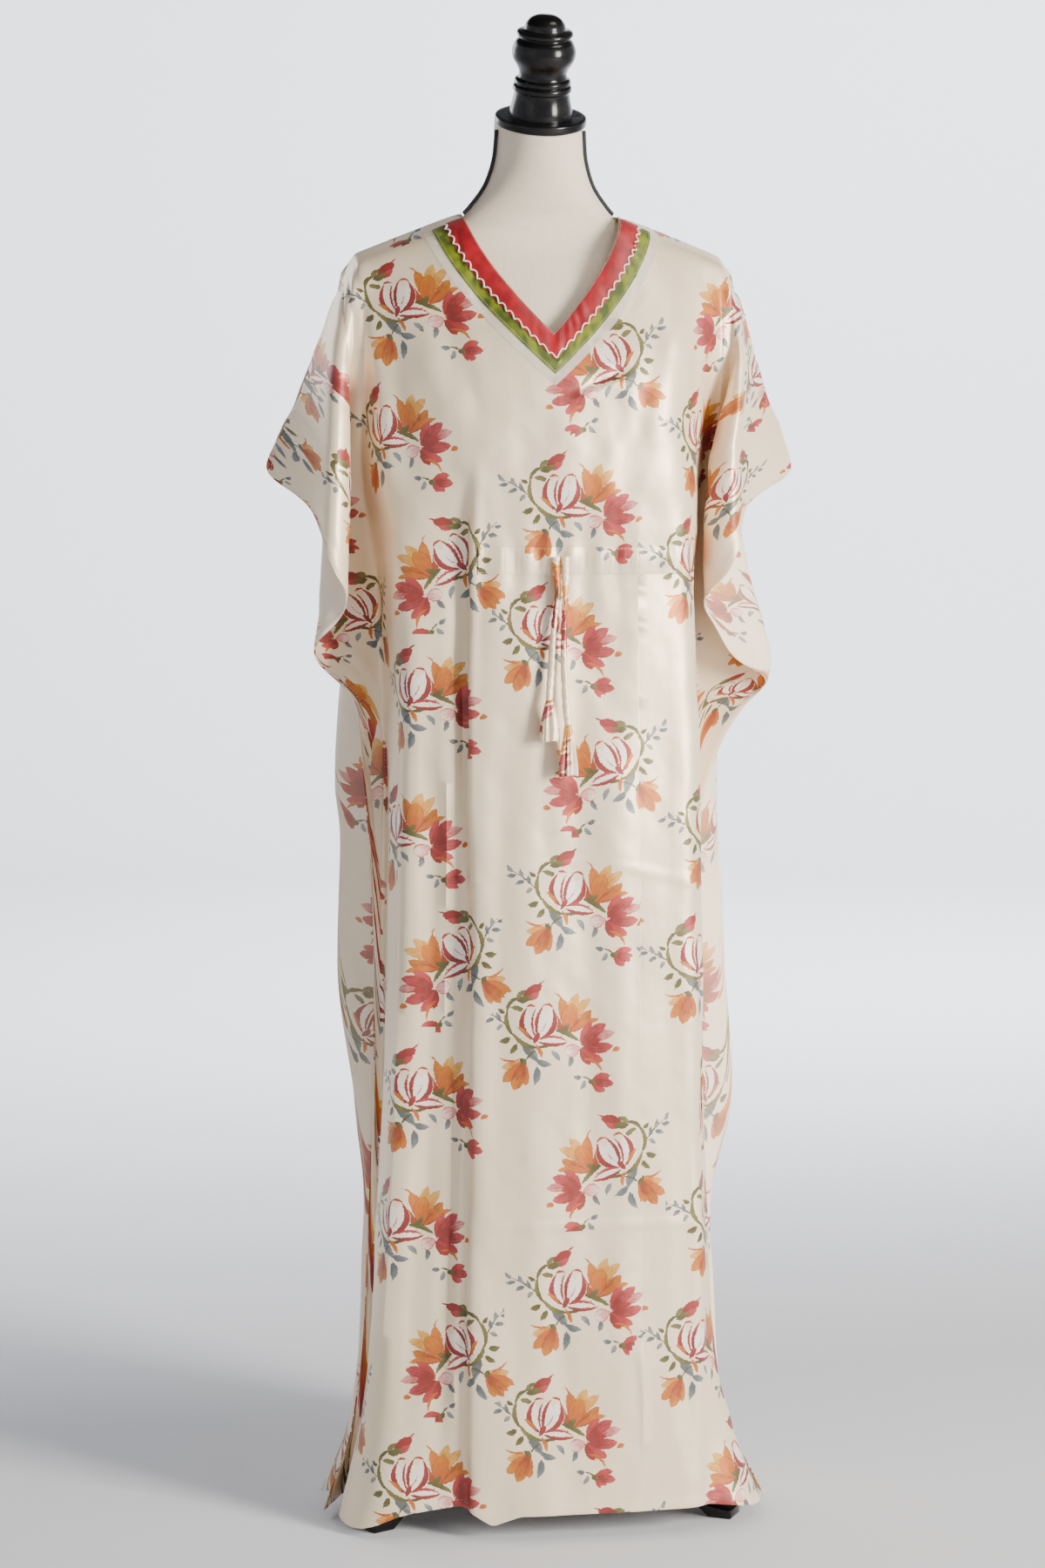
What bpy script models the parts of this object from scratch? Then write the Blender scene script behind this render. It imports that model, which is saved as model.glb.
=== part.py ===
"""Kaftan on a limbless dress form, metres, +Z up, front towards -Y, floor at z = 0."""
import math

import bpy
import numpy as np
from mathutils import Matrix, Vector
from mathutils.bvhtree import BVHTree

for old in list(bpy.data.objects):
    bpy.data.objects.remove(old, do_unlink=True)

# Driving sizes
CLOTH = 0.0015
GAP = 0.0003
SEAM = CLOTH / 2 + GAP / 2
NECK_HALF = 0.083
NECK_Z = 1.370
SHOULDER_X = 0.200
SHOULDER_Z = 1.324
V_Z = 1.240
V_BOW = 1.45
BACK_SCOOP = 0.020
BAND = 0.018
TRIM = 0.010
STRIP = 0.0008
STRIP_LIFT = 0.0006
ROPE = 0.0022
CASING_TOP = 1.024
CASING_LOW = 0.996
ROUND = 0.015

# Heights of the stations that every section table below is read at
STATIONS = (1.280, 1.235, 1.175, 1.105, 1.055, CASING_TOP, CASING_LOW, 0.945, 0.905, 0.855,
            0.790, 0.720, 0.580, 0.430, 0.300, 0.180, 0.090, 0.020)
# Mesh rows from each station to the next, starting at the shoulder line
ROWS = {"front": (1, 3, 2, 2, 2, 2, 1, 1, 3, 2, 4, 3, 2, 2, 2, 2, 2, 2, 2),
        "back": (1, 2, 2, 2, 2, 2, 1, 1, 2, 1, 2, 2, 1, 2, 2, 1, 2, 1, 2)}
CASING_ROW = 13

# Body of the front panel: z, seam L, corner L x and y, pleat x, pleat depth,
# front y, crease x, corner R x and y, seam R
BODY = (
    (1.280, -0.190, -0.176, -0.054, -0.085, 0.0, -0.098, 0.125, 0.165, -0.058, 0.188),
    (1.235, -0.190, -0.178, -0.068, -0.085, 0.1, -0.120, 0.130, 0.165, -0.074, 0.188),
    (1.175, -0.191, -0.180, -0.080, -0.086, 0.3, -0.134, 0.132, 0.163, -0.085, 0.186),
    (1.105, -0.190, -0.180, -0.088, -0.088, 0.6, -0.136, 0.135, 0.160, -0.092, 0.182),
    (1.000, -0.176, -0.163, -0.086, -0.088, 0.8, -0.126, 0.140, 0.155, -0.086, 0.170),
    (0.855, -0.168, -0.160, -0.092, -0.088, 1.0, -0.136, 0.143, 0.155, -0.092, 0.168),
    (0.720, -0.168, -0.162, -0.098, -0.088, 1.0, -0.144, 0.144, 0.157, -0.098, 0.170),
    (0.430, -0.172, -0.172, -0.105, -0.092, 1.0, -0.155, 0.146, 0.162, -0.105, 0.176),
    (0.180, -0.184, -0.188, -0.110, -0.095, 1.0, -0.162, 0.150, 0.177, -0.114, 0.186),
    (0.090, -0.194, -0.200, -0.122, -0.095, 1.0, -0.166, 0.151, 0.196, -0.126, 0.195),
    (0.020, -0.206, -0.222, -0.140, -0.095, 1.0, -0.170, 0.152, 0.226, -0.142, 0.208),
)

# Front wings: z, fold 1 x, fold 2 x, fold 3 x, layer 1 y, layer 2 y, layer 3 y, reach
FRONT_LEFT = (
    (1.280, 0.200, 0.205, 0.210, -0.050, -0.044, -0.034, 1.00),
    (1.235, 0.201, 0.207, 0.219, -0.050, -0.056, -0.058, 1.00),
    (1.175, 0.212, 0.204, 0.227, -0.034, -0.050, -0.080, 1.00),
    (1.105, 0.222, 0.203, 0.232, -0.014, -0.050, -0.098, 1.00),
    (1.055, 0.228, 0.205, 0.232, -0.012, -0.052, -0.100, 0.94),
    (1.000, 0.232, 0.206, 0.236, -0.012, -0.052, -0.100, 0.82),
    (0.945, 0.236, 0.206, 0.232, -0.012, -0.052, -0.098, 0.56),
    (0.905, 0.242, 0.206, 0.228, -0.012, -0.052, -0.096, 0.36),
    (0.855, 0.228, 0.200, 0.220, -0.014, -0.052, -0.096, 0.24),
    (0.790, 0.220, 0.196, 0.216, -0.016, -0.052, -0.096, 0.22),
    (0.720, 0.213, 0.192, 0.212, -0.018, -0.052, -0.096, 0.20),
    (0.580, 0.200, 0.190, 0.210, -0.018, -0.052, -0.096, 0.14),
    (0.430, 0.200, 0.190, 0.210, -0.018, -0.052, -0.096, 0.13),
    (0.300, 0.200, 0.190, 0.210, -0.018, -0.052, -0.096, 0.13),
    (0.180, 0.205, 0.195, 0.212, -0.020, -0.055, -0.096, 0.13),
    (0.090, 0.215, 0.205, 0.218, -0.030, -0.062, -0.096, 0.16),
    (0.020, 0.238, 0.225, 0.235, -0.060, -0.085, -0.105, 0.34),
)
FRONT_RIGHT = (
    (1.280, 0.198, 0.203, 0.209, -0.050, -0.044, -0.034, 1.00),
    (1.235, 0.198, 0.202, 0.209, -0.050, -0.056, -0.060, 1.00),
    (1.175, 0.200, 0.190, 0.206, -0.034, -0.052, -0.086, 1.00),
    (1.105, 0.206, 0.168, 0.202, -0.014, -0.050, -0.104, 1.00),
    (1.055, 0.212, 0.163, 0.204, -0.012, -0.052, -0.106, 0.92),
    (1.000, 0.225, 0.163, 0.207, -0.012, -0.052, -0.106, 0.82),
    (0.945, 0.240, 0.164, 0.207, -0.012, -0.052, -0.104, 0.60),
    (0.905, 0.250, 0.164, 0.206, -0.012, -0.052, -0.102, 0.54),
    (0.855, 0.238, 0.166, 0.206, -0.012, -0.052, -0.102, 0.32),
    (0.790, 0.226, 0.172, 0.206, -0.014, -0.052, -0.102, 0.22),
    (0.720, 0.206, 0.180, 0.206, -0.016, -0.052, -0.102, 0.15),
    (0.580, 0.200, 0.186, 0.206, -0.018, -0.052, -0.102, 0.13),
    (0.430, 0.204, 0.188, 0.208, -0.018, -0.052, -0.102, 0.13),
    (0.300, 0.198, 0.186, 0.208, -0.018, -0.052, -0.102, 0.13),
    (0.180, 0.202, 0.190, 0.210, -0.022, -0.055, -0.102, 0.13),
    (0.090, 0.212, 0.200, 0.216, -0.040, -0.068, -0.104, 0.18),
    (0.020, 0.236, 0.222, 0.232, -0.085, -0.105, -0.118, 0.36),
)
# Back wings: z, fold 1 x, fold 2 x, layer 1 y, layer 2 y, edge y, reach
BACK_LEFT = (
    (1.280, 0.200, 0.207, 0.042, 0.034, 0.020, 1.00),
    (1.235, 0.202, 0.209, 0.042, 0.044, 0.024, 1.00),
    (1.175, 0.206, 0.205, 0.030, 0.052, 0.030, 1.00),
    (1.105, 0.212, 0.194, 0.015, 0.060, 0.036, 1.00),
    (1.055, 0.212, 0.188, 0.014, 0.064, 0.046, 0.92),
    (1.000, 0.206, 0.182, 0.014, 0.064, 0.060, 0.72),
    (0.905, 0.207, 0.180, 0.014, 0.064, 0.064, 0.62),
    (0.790, 0.215, 0.180, 0.015, 0.062, 0.064, 0.56),
    (0.720, 0.218, 0.182, 0.016, 0.060, 0.064, 0.45),
    (0.580, 0.227, 0.186, 0.018, 0.056, 0.074, 0.42),
    (0.430, 0.202, 0.184, 0.018, 0.052, 0.074, 0.42),
    (0.300, 0.187, 0.182, 0.018, 0.050, 0.074, 0.30),
    (0.180, 0.192, 0.184, 0.018, 0.050, 0.074, 0.30),
    (0.090, 0.202, 0.188, 0.020, 0.052, 0.074, 0.42),
    (0.020, 0.238, 0.200, 0.016, 0.050, 0.074, 0.45),
)
BACK_RIGHT = (
    (1.280, 0.199, 0.206, 0.042, 0.034, 0.020, 1.00),
    (1.235, 0.200, 0.206, 0.042, 0.046, 0.024, 1.00),
    (1.175, 0.203, 0.203, 0.030, 0.054, 0.030, 1.00),
    (1.105, 0.206, 0.194, 0.015, 0.062, 0.036, 1.00),
    (1.055, 0.204, 0.186, 0.014, 0.064, 0.046, 0.92),
    (1.000, 0.200, 0.178, 0.014, 0.064, 0.060, 0.72),
    (0.905, 0.201, 0.176, 0.014, 0.064, 0.064, 0.62),
    (0.790, 0.199, 0.178, 0.015, 0.062, 0.064, 0.56),
    (0.720, 0.201, 0.180, 0.016, 0.058, 0.074, 0.50),
    (0.580, 0.216, 0.184, 0.018, 0.056, 0.074, 0.42),
    (0.430, 0.227, 0.186, 0.018, 0.054, 0.074, 0.42),
    (0.300, 0.192, 0.182, 0.018, 0.050, 0.074, 0.36),
    (0.180, 0.196, 0.184, 0.018, 0.050, 0.074, 0.34),
    (0.090, 0.207, 0.188, 0.018, 0.052, 0.074, 0.42),
    (0.020, 0.232, 0.200, 0.016, 0.050, 0.074, 0.45),
)
# Back of the body: z, back y, fold depth, swell where it hangs over the rear leg
BACK_BODY = (
    (1.280, 0.080, 0.001, 0.000),
    (1.235, 0.099, 0.002, 0.000),
    (1.175, 0.109, 0.003, 0.000),
    (1.105, 0.112, 0.005, 0.000),
    (1.000, 0.114, 0.008, 0.000),
    (0.855, 0.122, 0.010, 0.000),
    (0.580, 0.134, 0.014, 0.006),
    (0.300, 0.148, 0.015, 0.030),
    (0.180, 0.154, 0.014, 0.058),
    (0.090, 0.158, 0.012, 0.082),
    (0.020, 0.162, 0.010, 0.106),
)
# Sleeve seam from the shoulder down to the wing tip: z, left x, right x
SLEEVE_SEAM = (
    (1.305, 0.207, 0.208),
    (1.280, 0.215, 0.217),
    (1.235, 0.231, 0.229),
    (1.175, 0.253, 0.248),
    (1.105, 0.285, 0.272),
)
# Free edge below the tips, where it still stands out: z, front L, front R, back L, back R
EDGE = (
    (1.105, 0.285, 0.272, 0.285, 0.272),
    (1.055, 0.264, 0.246, 0.254, 0.246),
    (1.000, 0.252, 0.240, 0.246, 0.240),
    (0.020, 0.252, 0.240, 0.240, 0.236),
)
# Torso: z, half width, front y, back y
TORSO = (
    (0.700, 0.140, -0.078, 0.092),
    (0.760, 0.150, -0.088, 0.100),
    (0.860, 0.152, -0.096, 0.104),
    (0.940, 0.138, -0.092, 0.088),
    (1.020, 0.122, -0.084, 0.076),
    (1.100, 0.138, -0.098, 0.084),
    (1.170, 0.150, -0.118, 0.092),
    (1.220, 0.165, -0.111, 0.084),
    (1.265, 0.180, -0.092, 0.066),
    (1.295, 0.187, -0.072, 0.054),
    (1.312, 0.184, -0.058, 0.047),
    (1.3313, 0.161, -0.043, 0.038),
    (1.3473, 0.124, -0.037, 0.034),
    (1.3613, 0.086, -0.037, 0.032),
    (1.3793, 0.068, -0.045, 0.034),
    (1.402, 0.054, -0.055, 0.034),
    (1.430, 0.047, -0.062, 0.028),
    (1.4610, 0.0455, -0.0655, 0.0255),
)
# Neck finial above its cap, from the tip down: radius, height on its axis
FINIAL = (
    (0.000, 0.1050), (0.010, 0.1042), (0.0165, 0.1010), (0.0208, 0.0952), (0.0215, 0.0895),
    (0.0290, 0.0882), (0.0295, 0.0842), (0.0245, 0.0822), (0.0300, 0.0775), (0.0335, 0.0690),
    (0.0325, 0.0600), (0.0270, 0.0512), (0.0247, 0.0457), (0.0255, 0.0400), (0.0290, 0.0384),
    (0.0294, 0.0345), (0.0270, 0.0335), (0.0305, 0.0315), (0.0308, 0.0272), (0.0285, 0.0258),
    (0.0300, 0.0165), (0.0325, 0.0070), (0.0330, 0.0000),
)
CAP_CENTRE = (0.0, -0.020, 1.4614)
CAP_RADIUS = 0.0478
CAP_HEIGHT = 0.009
CAP_TILT = math.radians(21.0)
# The whole is moved so that the middle of its box stands on the origin
SHIFT = (0.0065, -0.0452, 0.0)

# Collections and materials
home = bpy.data.collections.new("Kaftan on a dress form")
bpy.context.scene.collection.children.link(home)


def material(name, colour, roughness):
    made = bpy.data.materials.new(name)
    made.use_nodes = True
    shader = made.node_tree.nodes["Principled BSDF"]
    shader.inputs["Base Color"].default_value = (*colour, 1.0)
    shader.inputs["Roughness"].default_value = roughness
    return made


IVORY = (0.83, 0.77, 0.66)


def place(name, vertices, faces, colour, roughness, smooth=True):
    mesh = bpy.data.meshes.new(name)
    mesh.from_pydata([tuple(map(float, v)) for v in vertices], [], faces)
    mesh.update()
    mesh.materials.append(material(name, colour, roughness))
    body = bpy.data.objects.new(name, mesh)
    home.objects.link(body)
    if smooth:
        mesh.shade_smooth()
    return body


# Smooth sections: clamped cubic B-spline across, monotone cubic down
def across(count, u):
    degree = 3
    knots = np.concatenate([np.zeros(3), np.linspace(0, 1, count - 2), np.ones(3)])
    u = np.clip(np.asarray(u, float), 0, 1 - 1e-12)
    weights = [((u >= knots[i]) & (u < knots[i + 1])).astype(float)
               for i in range(len(knots) - 1)]
    for d in range(1, degree + 1):
        step = []
        for i in range(len(knots) - 1 - d):
            left = knots[i + d] - knots[i]
            right = knots[i + d + 1] - knots[i + 1]
            value = np.zeros_like(u)
            if left > 0:
                value = value + (u - knots[i]) / left * weights[i]
            if right > 0:
                value = value + (knots[i + d + 1] - u) / right * weights[i + 1]
            step.append(value)
        weights = step
    return np.stack(weights, axis=-1)


def down(stack, v):
    stack = np.asarray(stack, float)
    steps = np.diff(stack, axis=0)
    slopes = np.zeros_like(stack)
    before, after = steps[:-1], steps[1:]
    same = before * after > 0
    total = np.where(same, before + after, 1.0)
    slopes[1:-1] = np.where(same, 2 * before * after / total, 0.0)
    slopes[0] = steps[0]
    slopes[-1] = steps[-1]
    v = np.clip(np.asarray(v, float), 0, len(stack) - 1)
    k = np.minimum(v.astype(int), len(stack) - 2)
    t = v - k
    t = t.reshape(t.shape + (1,) * (stack.ndim - 1))
    a = 2 * t**3 - 3 * t**2 + 1
    b = t**3 - 2 * t**2 + t
    c = -2 * t**3 + 3 * t**2
    d = t**3 - t**2
    return a * stack[k] + b * slopes[k] + c * stack[k + 1] + d * slopes[k + 1]


def column(table, index, z):
    rows = sorted(table)
    return float(np.interp(z, [r[0] for r in rows], [r[index] for r in rows]))


def shoulder_z(x):
    run = np.clip(np.abs(x) - NECK_HALF, 0, None)
    return NECK_Z - run * (NECK_Z - SHOULDER_Z) / (SHOULDER_X - NECK_HALF)


def edge_x(z, side, layer):
    if z >= 1.105:
        return column(SLEEVE_SEAM, 1 if side < 0 else 2, z)
    return column(EDGE, (1 if side < 0 else 2) + (0 if layer == "front" else 2), z)


# A wing's control points from the side seam out to its free edge
def wing(z, side, layer):
    seam = abs(column(BODY, 1 if side < 0 else 10, z))
    open_arm = np.interp(z, [1.055, 1.105, 1.175, 1.235, 1.280], [0, 0.012, 0.044, 0.052, 0.048])
    near = np.interp(z, [1.105, 1.175], [0.008, 0.003])
    edge = edge_x(z, side, layer)
    if layer == "front":
        table = FRONT_LEFT if side < 0 else FRONT_RIGHT
        f1, f2, f3, y1, y2, y3 = (column(table, i, z) for i in range(1, 7))
        y0 = -SEAM - open_arm
        turn = np.interp(z, [0.90, 1.10], [0.5 * (y2 + y3), 0.5 * y3])
        end = -SEAM if z >= 1.104 else 0.35 * y2
        points = [(seam - near, y0), (seam, y0), (seam + near, y0), (f1, y1),
                  (f1, 0.75 * y2 + 0.25 * y1), (f2, y2), (f2, 0.4 * y2 + 0.6 * y3), (f3, y3),
                  (f3 + 0.004, turn), (edge, end)]
    else:
        table = BACK_LEFT if side < 0 else BACK_RIGHT
        f1, f2, y1, y2, ye = (column(table, i, z) for i in range(1, 6))
        y0 = SEAM + open_arm
        end = SEAM if z >= 1.104 else ye
        bulge = np.interp(z, [1.105, 1.280], [0.020, -0.012])
        points = [(seam - near, y0), (seam, y0), (seam + near, y0), (f1, y1),
                  (f1, 0.4 * y1 + 0.6 * y2), (f2, y2), (0.5 * (f2 + edge), y2 + bulge), (edge, end)]
    return [(side * x, y, z) for x, y in points]


def front_body(z):
    cl, cly, px, deep, fy, rx, cr, cry = (column(BODY, i, z) for i in range(2, 10))
    melt = np.interp(z, [1.150, 1.270], [0.0, 1.0])
    back = -0.045 * (1 - melt) + 0.96 * cly * melt
    backr = -0.045 * (1 - melt) + 0.96 * cry * melt
    outward = 0.006 * melt
    edge_y = fy + 0.012 * (1 - deep) + 0.003
    points = [(cl - outward, back), (cl, cly), (0.55 * cl + 0.45 * px, 0.45 * cly + 0.55 * fy + 0.006),
              (px + 0.014 * deep - 0.006, fy + 0.006 + 0.018 * deep),
              (px - 0.010 * deep + 0.006, edge_y + 0.001), (px + 0.036, fy),
              (-0.010, fy - 0.001), (0.030, fy - 0.001), (0.080, fy),
              (rx, fy + 0.008), (rx + 0.002, fy + 0.008 + 0.016 * deep),
              (cr, cry), (cr + 0.003 + outward, backr)]
    return [(x, y, z) for x, y in points]


def back_body(z):
    by, deep, swell = (column(BACK_BODY, i, z) for i in range(1, 4))
    xs = np.linspace(-0.165, 0.165, 12)
    shape = np.sqrt(np.clip(1 - (np.abs(xs) / 0.19) ** 3, 0, 1))
    wave = np.array([0.0, 0.4, -1.0, 0.9, -0.7, 0.8, -1.0, 0.6, -0.9, 1.0, -0.4, 0.0])
    return [(x, by * s + deep * w + swell * math.exp(-(x / 0.075) ** 2), z)
            for x, s, w in zip(xs, shape, wave)]


# Control net: the shoulder line first, then one row a station
def control_net(layer):
    inner = front_body if layer == "front" else back_body
    net = []
    for z in STATIONS:
        row = wing(z, -1, layer)[::-1] + inner(z) + wing(z, 1, layer)
        net.append(row)
    net = np.array(net)
    top = net[0].copy()
    sign = -1 if layer == "front" else 1
    arm = 10 if layer == "front" else 8
    for part, side in ((range(arm - 1, -1, -1), -1), (range(len(top) - arm, len(top)), 1)):
        steps = np.linspace(0, 1, arm)
        for j, t in zip(part, steps):
            top[j, 0] = side * (0.192 + (0.2075 - 0.192) * t)
            top[j, 2] = 1.327 - 0.022 * t
    for j in range(arm, len(top) - arm):
        top[j, 0] = np.clip(top[j, 0], -0.188, 0.188)
        top[j, 2] = shoulder_z(top[j, 0])
    top[:, 1] = sign * SEAM
    inside = np.abs(top[:, 0]) < NECK_HALF
    top[inside, 1] = sign * 0.024
    under = top.copy()
    under[:, 2] -= ROUND
    turn = np.interp(np.abs(np.arange(len(top)) - (len(top) - 1) / 2),
                     [len(top) / 2 - arm, len(top) / 2 - 0.5], [0.0, math.pi / 2])
    under[:, 1] = sign * (SEAM + 0.036 * np.cos(turn))
    under[inside, 1] = sign * 0.050
    under[:, 0] = 0.75 * top[:, 0] + 0.25 * net[0, :, 0]
    return np.concatenate([top[None], under[None], net])


NETS = {"front": control_net("front"), "back": control_net("back")}
REACH = {
    "front": [[1.0, 1.0] + [column(t, 7, z) for z in STATIONS] for t in (FRONT_LEFT, FRONT_RIGHT)],
    "back": [[1.0, 1.0] + [column(t, 6, z) for z in STATIONS] for t in (BACK_LEFT, BACK_RIGHT)],
}


# A point of a panel from u, left to right, and v, stations down
def panel(layer, u, v):
    net = NETS[layer]
    count = net.shape[1]
    arm = 10 if layer == "front" else 8
    seam = (arm - 2) / (count - 1)
    u = np.asarray(u, float)
    v = np.asarray(v, float)
    left = down(np.array(REACH[layer][0]), v)
    right = down(np.array(REACH[layer][1]), v)
    u = np.where(u < seam, seam - (seam - u) * left, u)
    u = np.where(u > 1 - seam, 1 - seam + (u - 1 + seam) * right, u)
    points = np.einsum("...j,...jc->...c", across(count, u), down(net, v))
    lift = hem_lift(layer, points[..., 0]) * np.clip(v - (len(net) - 2), 0, 1)
    points[..., 2] += lift
    return points


# The hem rises a little at the front and touches the floor at the left wing's corner
def hem_lift(layer, x):
    if layer == "front":
        return np.interp(x, [-0.24, -0.20, -0.16, -0.10, -0.07, -0.04, 0.16, 0.23],
                         [-0.014, -0.010, 0.006, 0.014, -0.004, 0.006, 0.006, -0.006])
    return np.interp(x, [-0.24, -0.20, -0.1, 0.1, 0.2, 0.24], [-0.014, -0.004, 0.010, 0.008, 0.0, -0.008])


def neck_edge(layer, x, out=0.0):
    x = np.abs(x)
    if layer == "front":
        half = NECK_HALF + 1.12 * out
        bottom = V_Z - 1.40 * out
        share = np.clip(1 - x / half, 0, 1) ** (1 / V_BOW)
        return shoulder_z(half) - (shoulder_z(half) - bottom) * share
    half = NECK_HALF + 1.02 * out
    return shoulder_z(half) - BACK_SCOOP * np.clip(1 - (x / half) ** 2, 0, 1) - 0.8 * out * (x < half)


# Mean direction of the two steps that meet at each point of a grid
def direction(points, axis):
    steps = np.diff(points, axis=axis)
    steps = steps / np.maximum(np.linalg.norm(steps, axis=-1, keepdims=True), 1e-9)
    first = np.take(steps, [0], axis=axis)
    last = np.take(steps, [-1], axis=axis)
    return np.concatenate([first, steps], axis=axis) + np.concatenate([steps, last], axis=axis)


# Normals of a grid, evened a little so that a sharp fold's wall keeps clear of itself
def normals(points):
    n = np.cross(direction(points, 0), direction(points, 1))
    for even_turn in range(2):
        n = n / np.maximum(np.linalg.norm(n, axis=-1, keepdims=True), 1e-12)
        near = np.pad(n, ((1, 1), (1, 1), (0, 0)), mode="edge")
        n = 0.5 * n + 0.125 * (near[:-2, 1:-1] + near[2:, 1:-1] + near[1:-1, :-2] + near[1:-1, 2:])
    return n / np.maximum(np.linalg.norm(n, axis=-1, keepdims=True), 1e-12)


# A closed wall on both sides of a grid of points
def wall(name, points, out, thick, colour, roughness, flip):
    n = normals(points) * (-1 if flip else 1)
    rows, cols = points.shape[:2]
    outer = (points + n * (out + thick / 2)).reshape(-1, 3)
    inner = (points + n * (out - thick / 2)).reshape(-1, 3)
    half = rows * cols
    faces = []

    def quad(a, b, c, d):
        faces.append((a, d, c, b) if flip else (a, b, c, d))

    def triangle(a, b, c):
        faces.append((a, c, b) if flip else (a, b, c))

    # Both sides of the wall are split along the same, shorter diagonal
    for r in range(rows - 1):
        for c in range(cols - 1):
            a, b = r * cols + c, r * cols + c + 1
            d, e = a + cols, b + cols
            one = np.linalg.norm(points[r, c] - points[r + 1, c + 1])
            two = np.linalg.norm(points[r, c + 1] - points[r + 1, c])
            for p, q, s in (((a, d, e), (a, e, b)) if one < two else ((a, d, b), (b, d, e))):
                triangle(p, q, s)
                triangle(half + p, half + s, half + q)
    rim = [c for c in range(cols)] + [r * cols + cols - 1 for r in range(1, rows)]
    rim += [(rows - 1) * cols + c for c in range(cols - 2, -1, -1)]
    rim += [r * cols for r in range(rows - 2, 0, -1)]
    for a, b in zip(rim, rim[1:] + rim[:1]):
        quad(a, b, half + b, half + a)
    return place(name, np.concatenate([outer, inner]), faces, colour, roughness)


# Columns of the panel grid, with one column on each point where the neckline turns
def solve_u(layer, x, v):
    grid = np.linspace(0.2, 0.8, 1201)
    found = panel(layer, grid, np.full_like(grid, v))[:, 0]
    return float(np.interp(x, found, grid)) if np.all(np.diff(found) > 0) else float(
        grid[np.argmin(np.abs(found - x))])


def columns(layer, count):
    if layer == "front":
        half = (0.0816, 0.078, 0.071, 0.060, 0.045, 0.024)
    else:
        half = (0.081, 0.074, 0.060, 0.034)
    pins = [-NECK_HALF] + [-x for x in half] + [0.0] + list(half[::-1]) + [NECK_HALF]
    levels = [0.0] + [1.6] * len(half) + [2.8] + [1.6] * len(half) + [0.0]
    middle = [solve_u(layer, x, v) for x, v in zip(pins, levels)]
    wing_columns = (count - len(pins) + 1) // 2
    step = np.linspace(0, 1, wing_columns + 1)
    step = step + 0.10 * np.sin(math.pi * step) * step
    left = middle[0] * (1 - step[:0:-1])
    right = middle[-1] + (1 - middle[-1]) * step[1:]
    return np.concatenate([left, middle, right])


def start_v(layer, u):
    v = np.linspace(0, 6, 1201)
    p = panel(layer, np.full_like(v, u), v)
    inside = (np.abs(p[:, 0]) < NECK_HALF - 1e-6) & (p[:, 2] > neck_edge(layer, p[:, 0]))
    if not inside[0]:
        return 0.0
    return float(v[np.argmin(inside)])


def grid(layer, count):
    u = columns(layer, count)
    level = np.array([k + i / n for k, n in enumerate(ROWS[layer]) for i in range(n)]
                     + [len(ROWS[layer])])
    begin = np.array([start_v(layer, a) for a in u])
    v = level[:, None] + begin[None] * np.clip(1 - level[:, None] / 7, 0, 1)
    # Below the neckline's corners the columns fan out towards the shoulder
    x = panel(layer, u, np.full_like(u, 1.6))[:, 0]
    corner = solve_u(layer, NECK_HALF, 1.0)
    fan = solve_u(layer, NECK_HALF + 0.010, 1.0) - corner
    near = np.sign(x) * np.exp(-((np.abs(x) - NECK_HALF) / 0.014) ** 2)
    out = fan * near[None] * np.minimum(level, 1)[:, None] * np.clip(1 - (level - 1) / 6, 0, 1)[:, None]
    points = panel(layer, u[None] + out, v)
    sign = -1 if layer == "front" else 1
    clear = begin == 0
    points[0, clear, 1] = sign * SEAM
    return points


front_points = grid("front", 48)
back_points = grid("back", 34)
wall("front", front_points, 0.0, CLOTH, IVORY, 0.35, False)
wall("back", back_points, 0.0, CLOTH, IVORY, 0.35, True)


# A panel's outer faces, for the strips that are laid on them
def outer_faces(points, flip):
    rows, cols = points.shape[:2]
    n = normals(points) * (-1 if flip else 1)
    lifted = (points + n * CLOTH / 2).reshape(-1, 3)
    triangles = []
    for r in range(rows - 1):
        for c in range(cols - 1):
            a, b = r * cols + c, r * cols + c + 1
            d, e = a + cols, b + cols
            one = np.linalg.norm(points[r, c] - points[r + 1, c + 1])
            two = np.linalg.norm(points[r, c + 1] - points[r + 1, c])
            triangles += [(a, d, e), (a, e, b)] if one < two else [(a, d, b), (b, d, e)]
    return BVHTree.FromPolygons([Vector(p) for p in lifted], triangles)


OUTER = {"front": outer_faces(front_points, False), "back": outer_faces(back_points, True)}


# The panel's outer face as seen straight from its own side
def laid(layer, x, z):
    sign = -1 if layer == "front" else 1
    hit = OUTER[layer].ray_cast(Vector((x, sign, z)), Vector((0, -sign, 0)))[0]
    return hit[1] if hit else sign * SEAM


# The two strips sewn round the neckline, laid together and then parted
def neck_strips(layer, steps, band_name, trim_name):
    distances = np.array([0.0, 0.5 * BAND, BAND, BAND + 0.0013, BAND + TRIM])
    half_way = np.linspace(0, 1, steps + 1)
    if layer == "front":
        share = 1 - (half_way ** 1.5) ** V_BOW
    else:
        share = np.sin((1 - half_way) * math.pi / 2)
    share = np.concatenate([share, share[-2::-1]])
    sides = np.array([-1.0] * steps + [0.0] + [1.0] * steps)
    points = np.empty((len(distances), len(share), 3))
    for i, d in enumerate(distances):
        half = NECK_HALF + (1.12 if layer == "front" else 1.02) * d
        x = sides * (half - 0.0006) * share
        z = neck_edge(layer, x, d) - 0.0012 - 0.0026 * share
        y = [laid(layer, a, b) for a, b in zip(x, z)]
        points[i] = np.stack([x, y, z], axis=1)
    flip = layer == "back"
    points = settle(points, layer, flip)
    lift = STRIP_LIFT + STRIP / 2
    wall(band_name, points[:3], lift, STRIP, (0.62, 0.03, 0.05), 0.3, flip)
    wall(trim_name, points[3:], lift, STRIP, (0.20, 0.26, 0.02), 0.35, flip)


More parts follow.
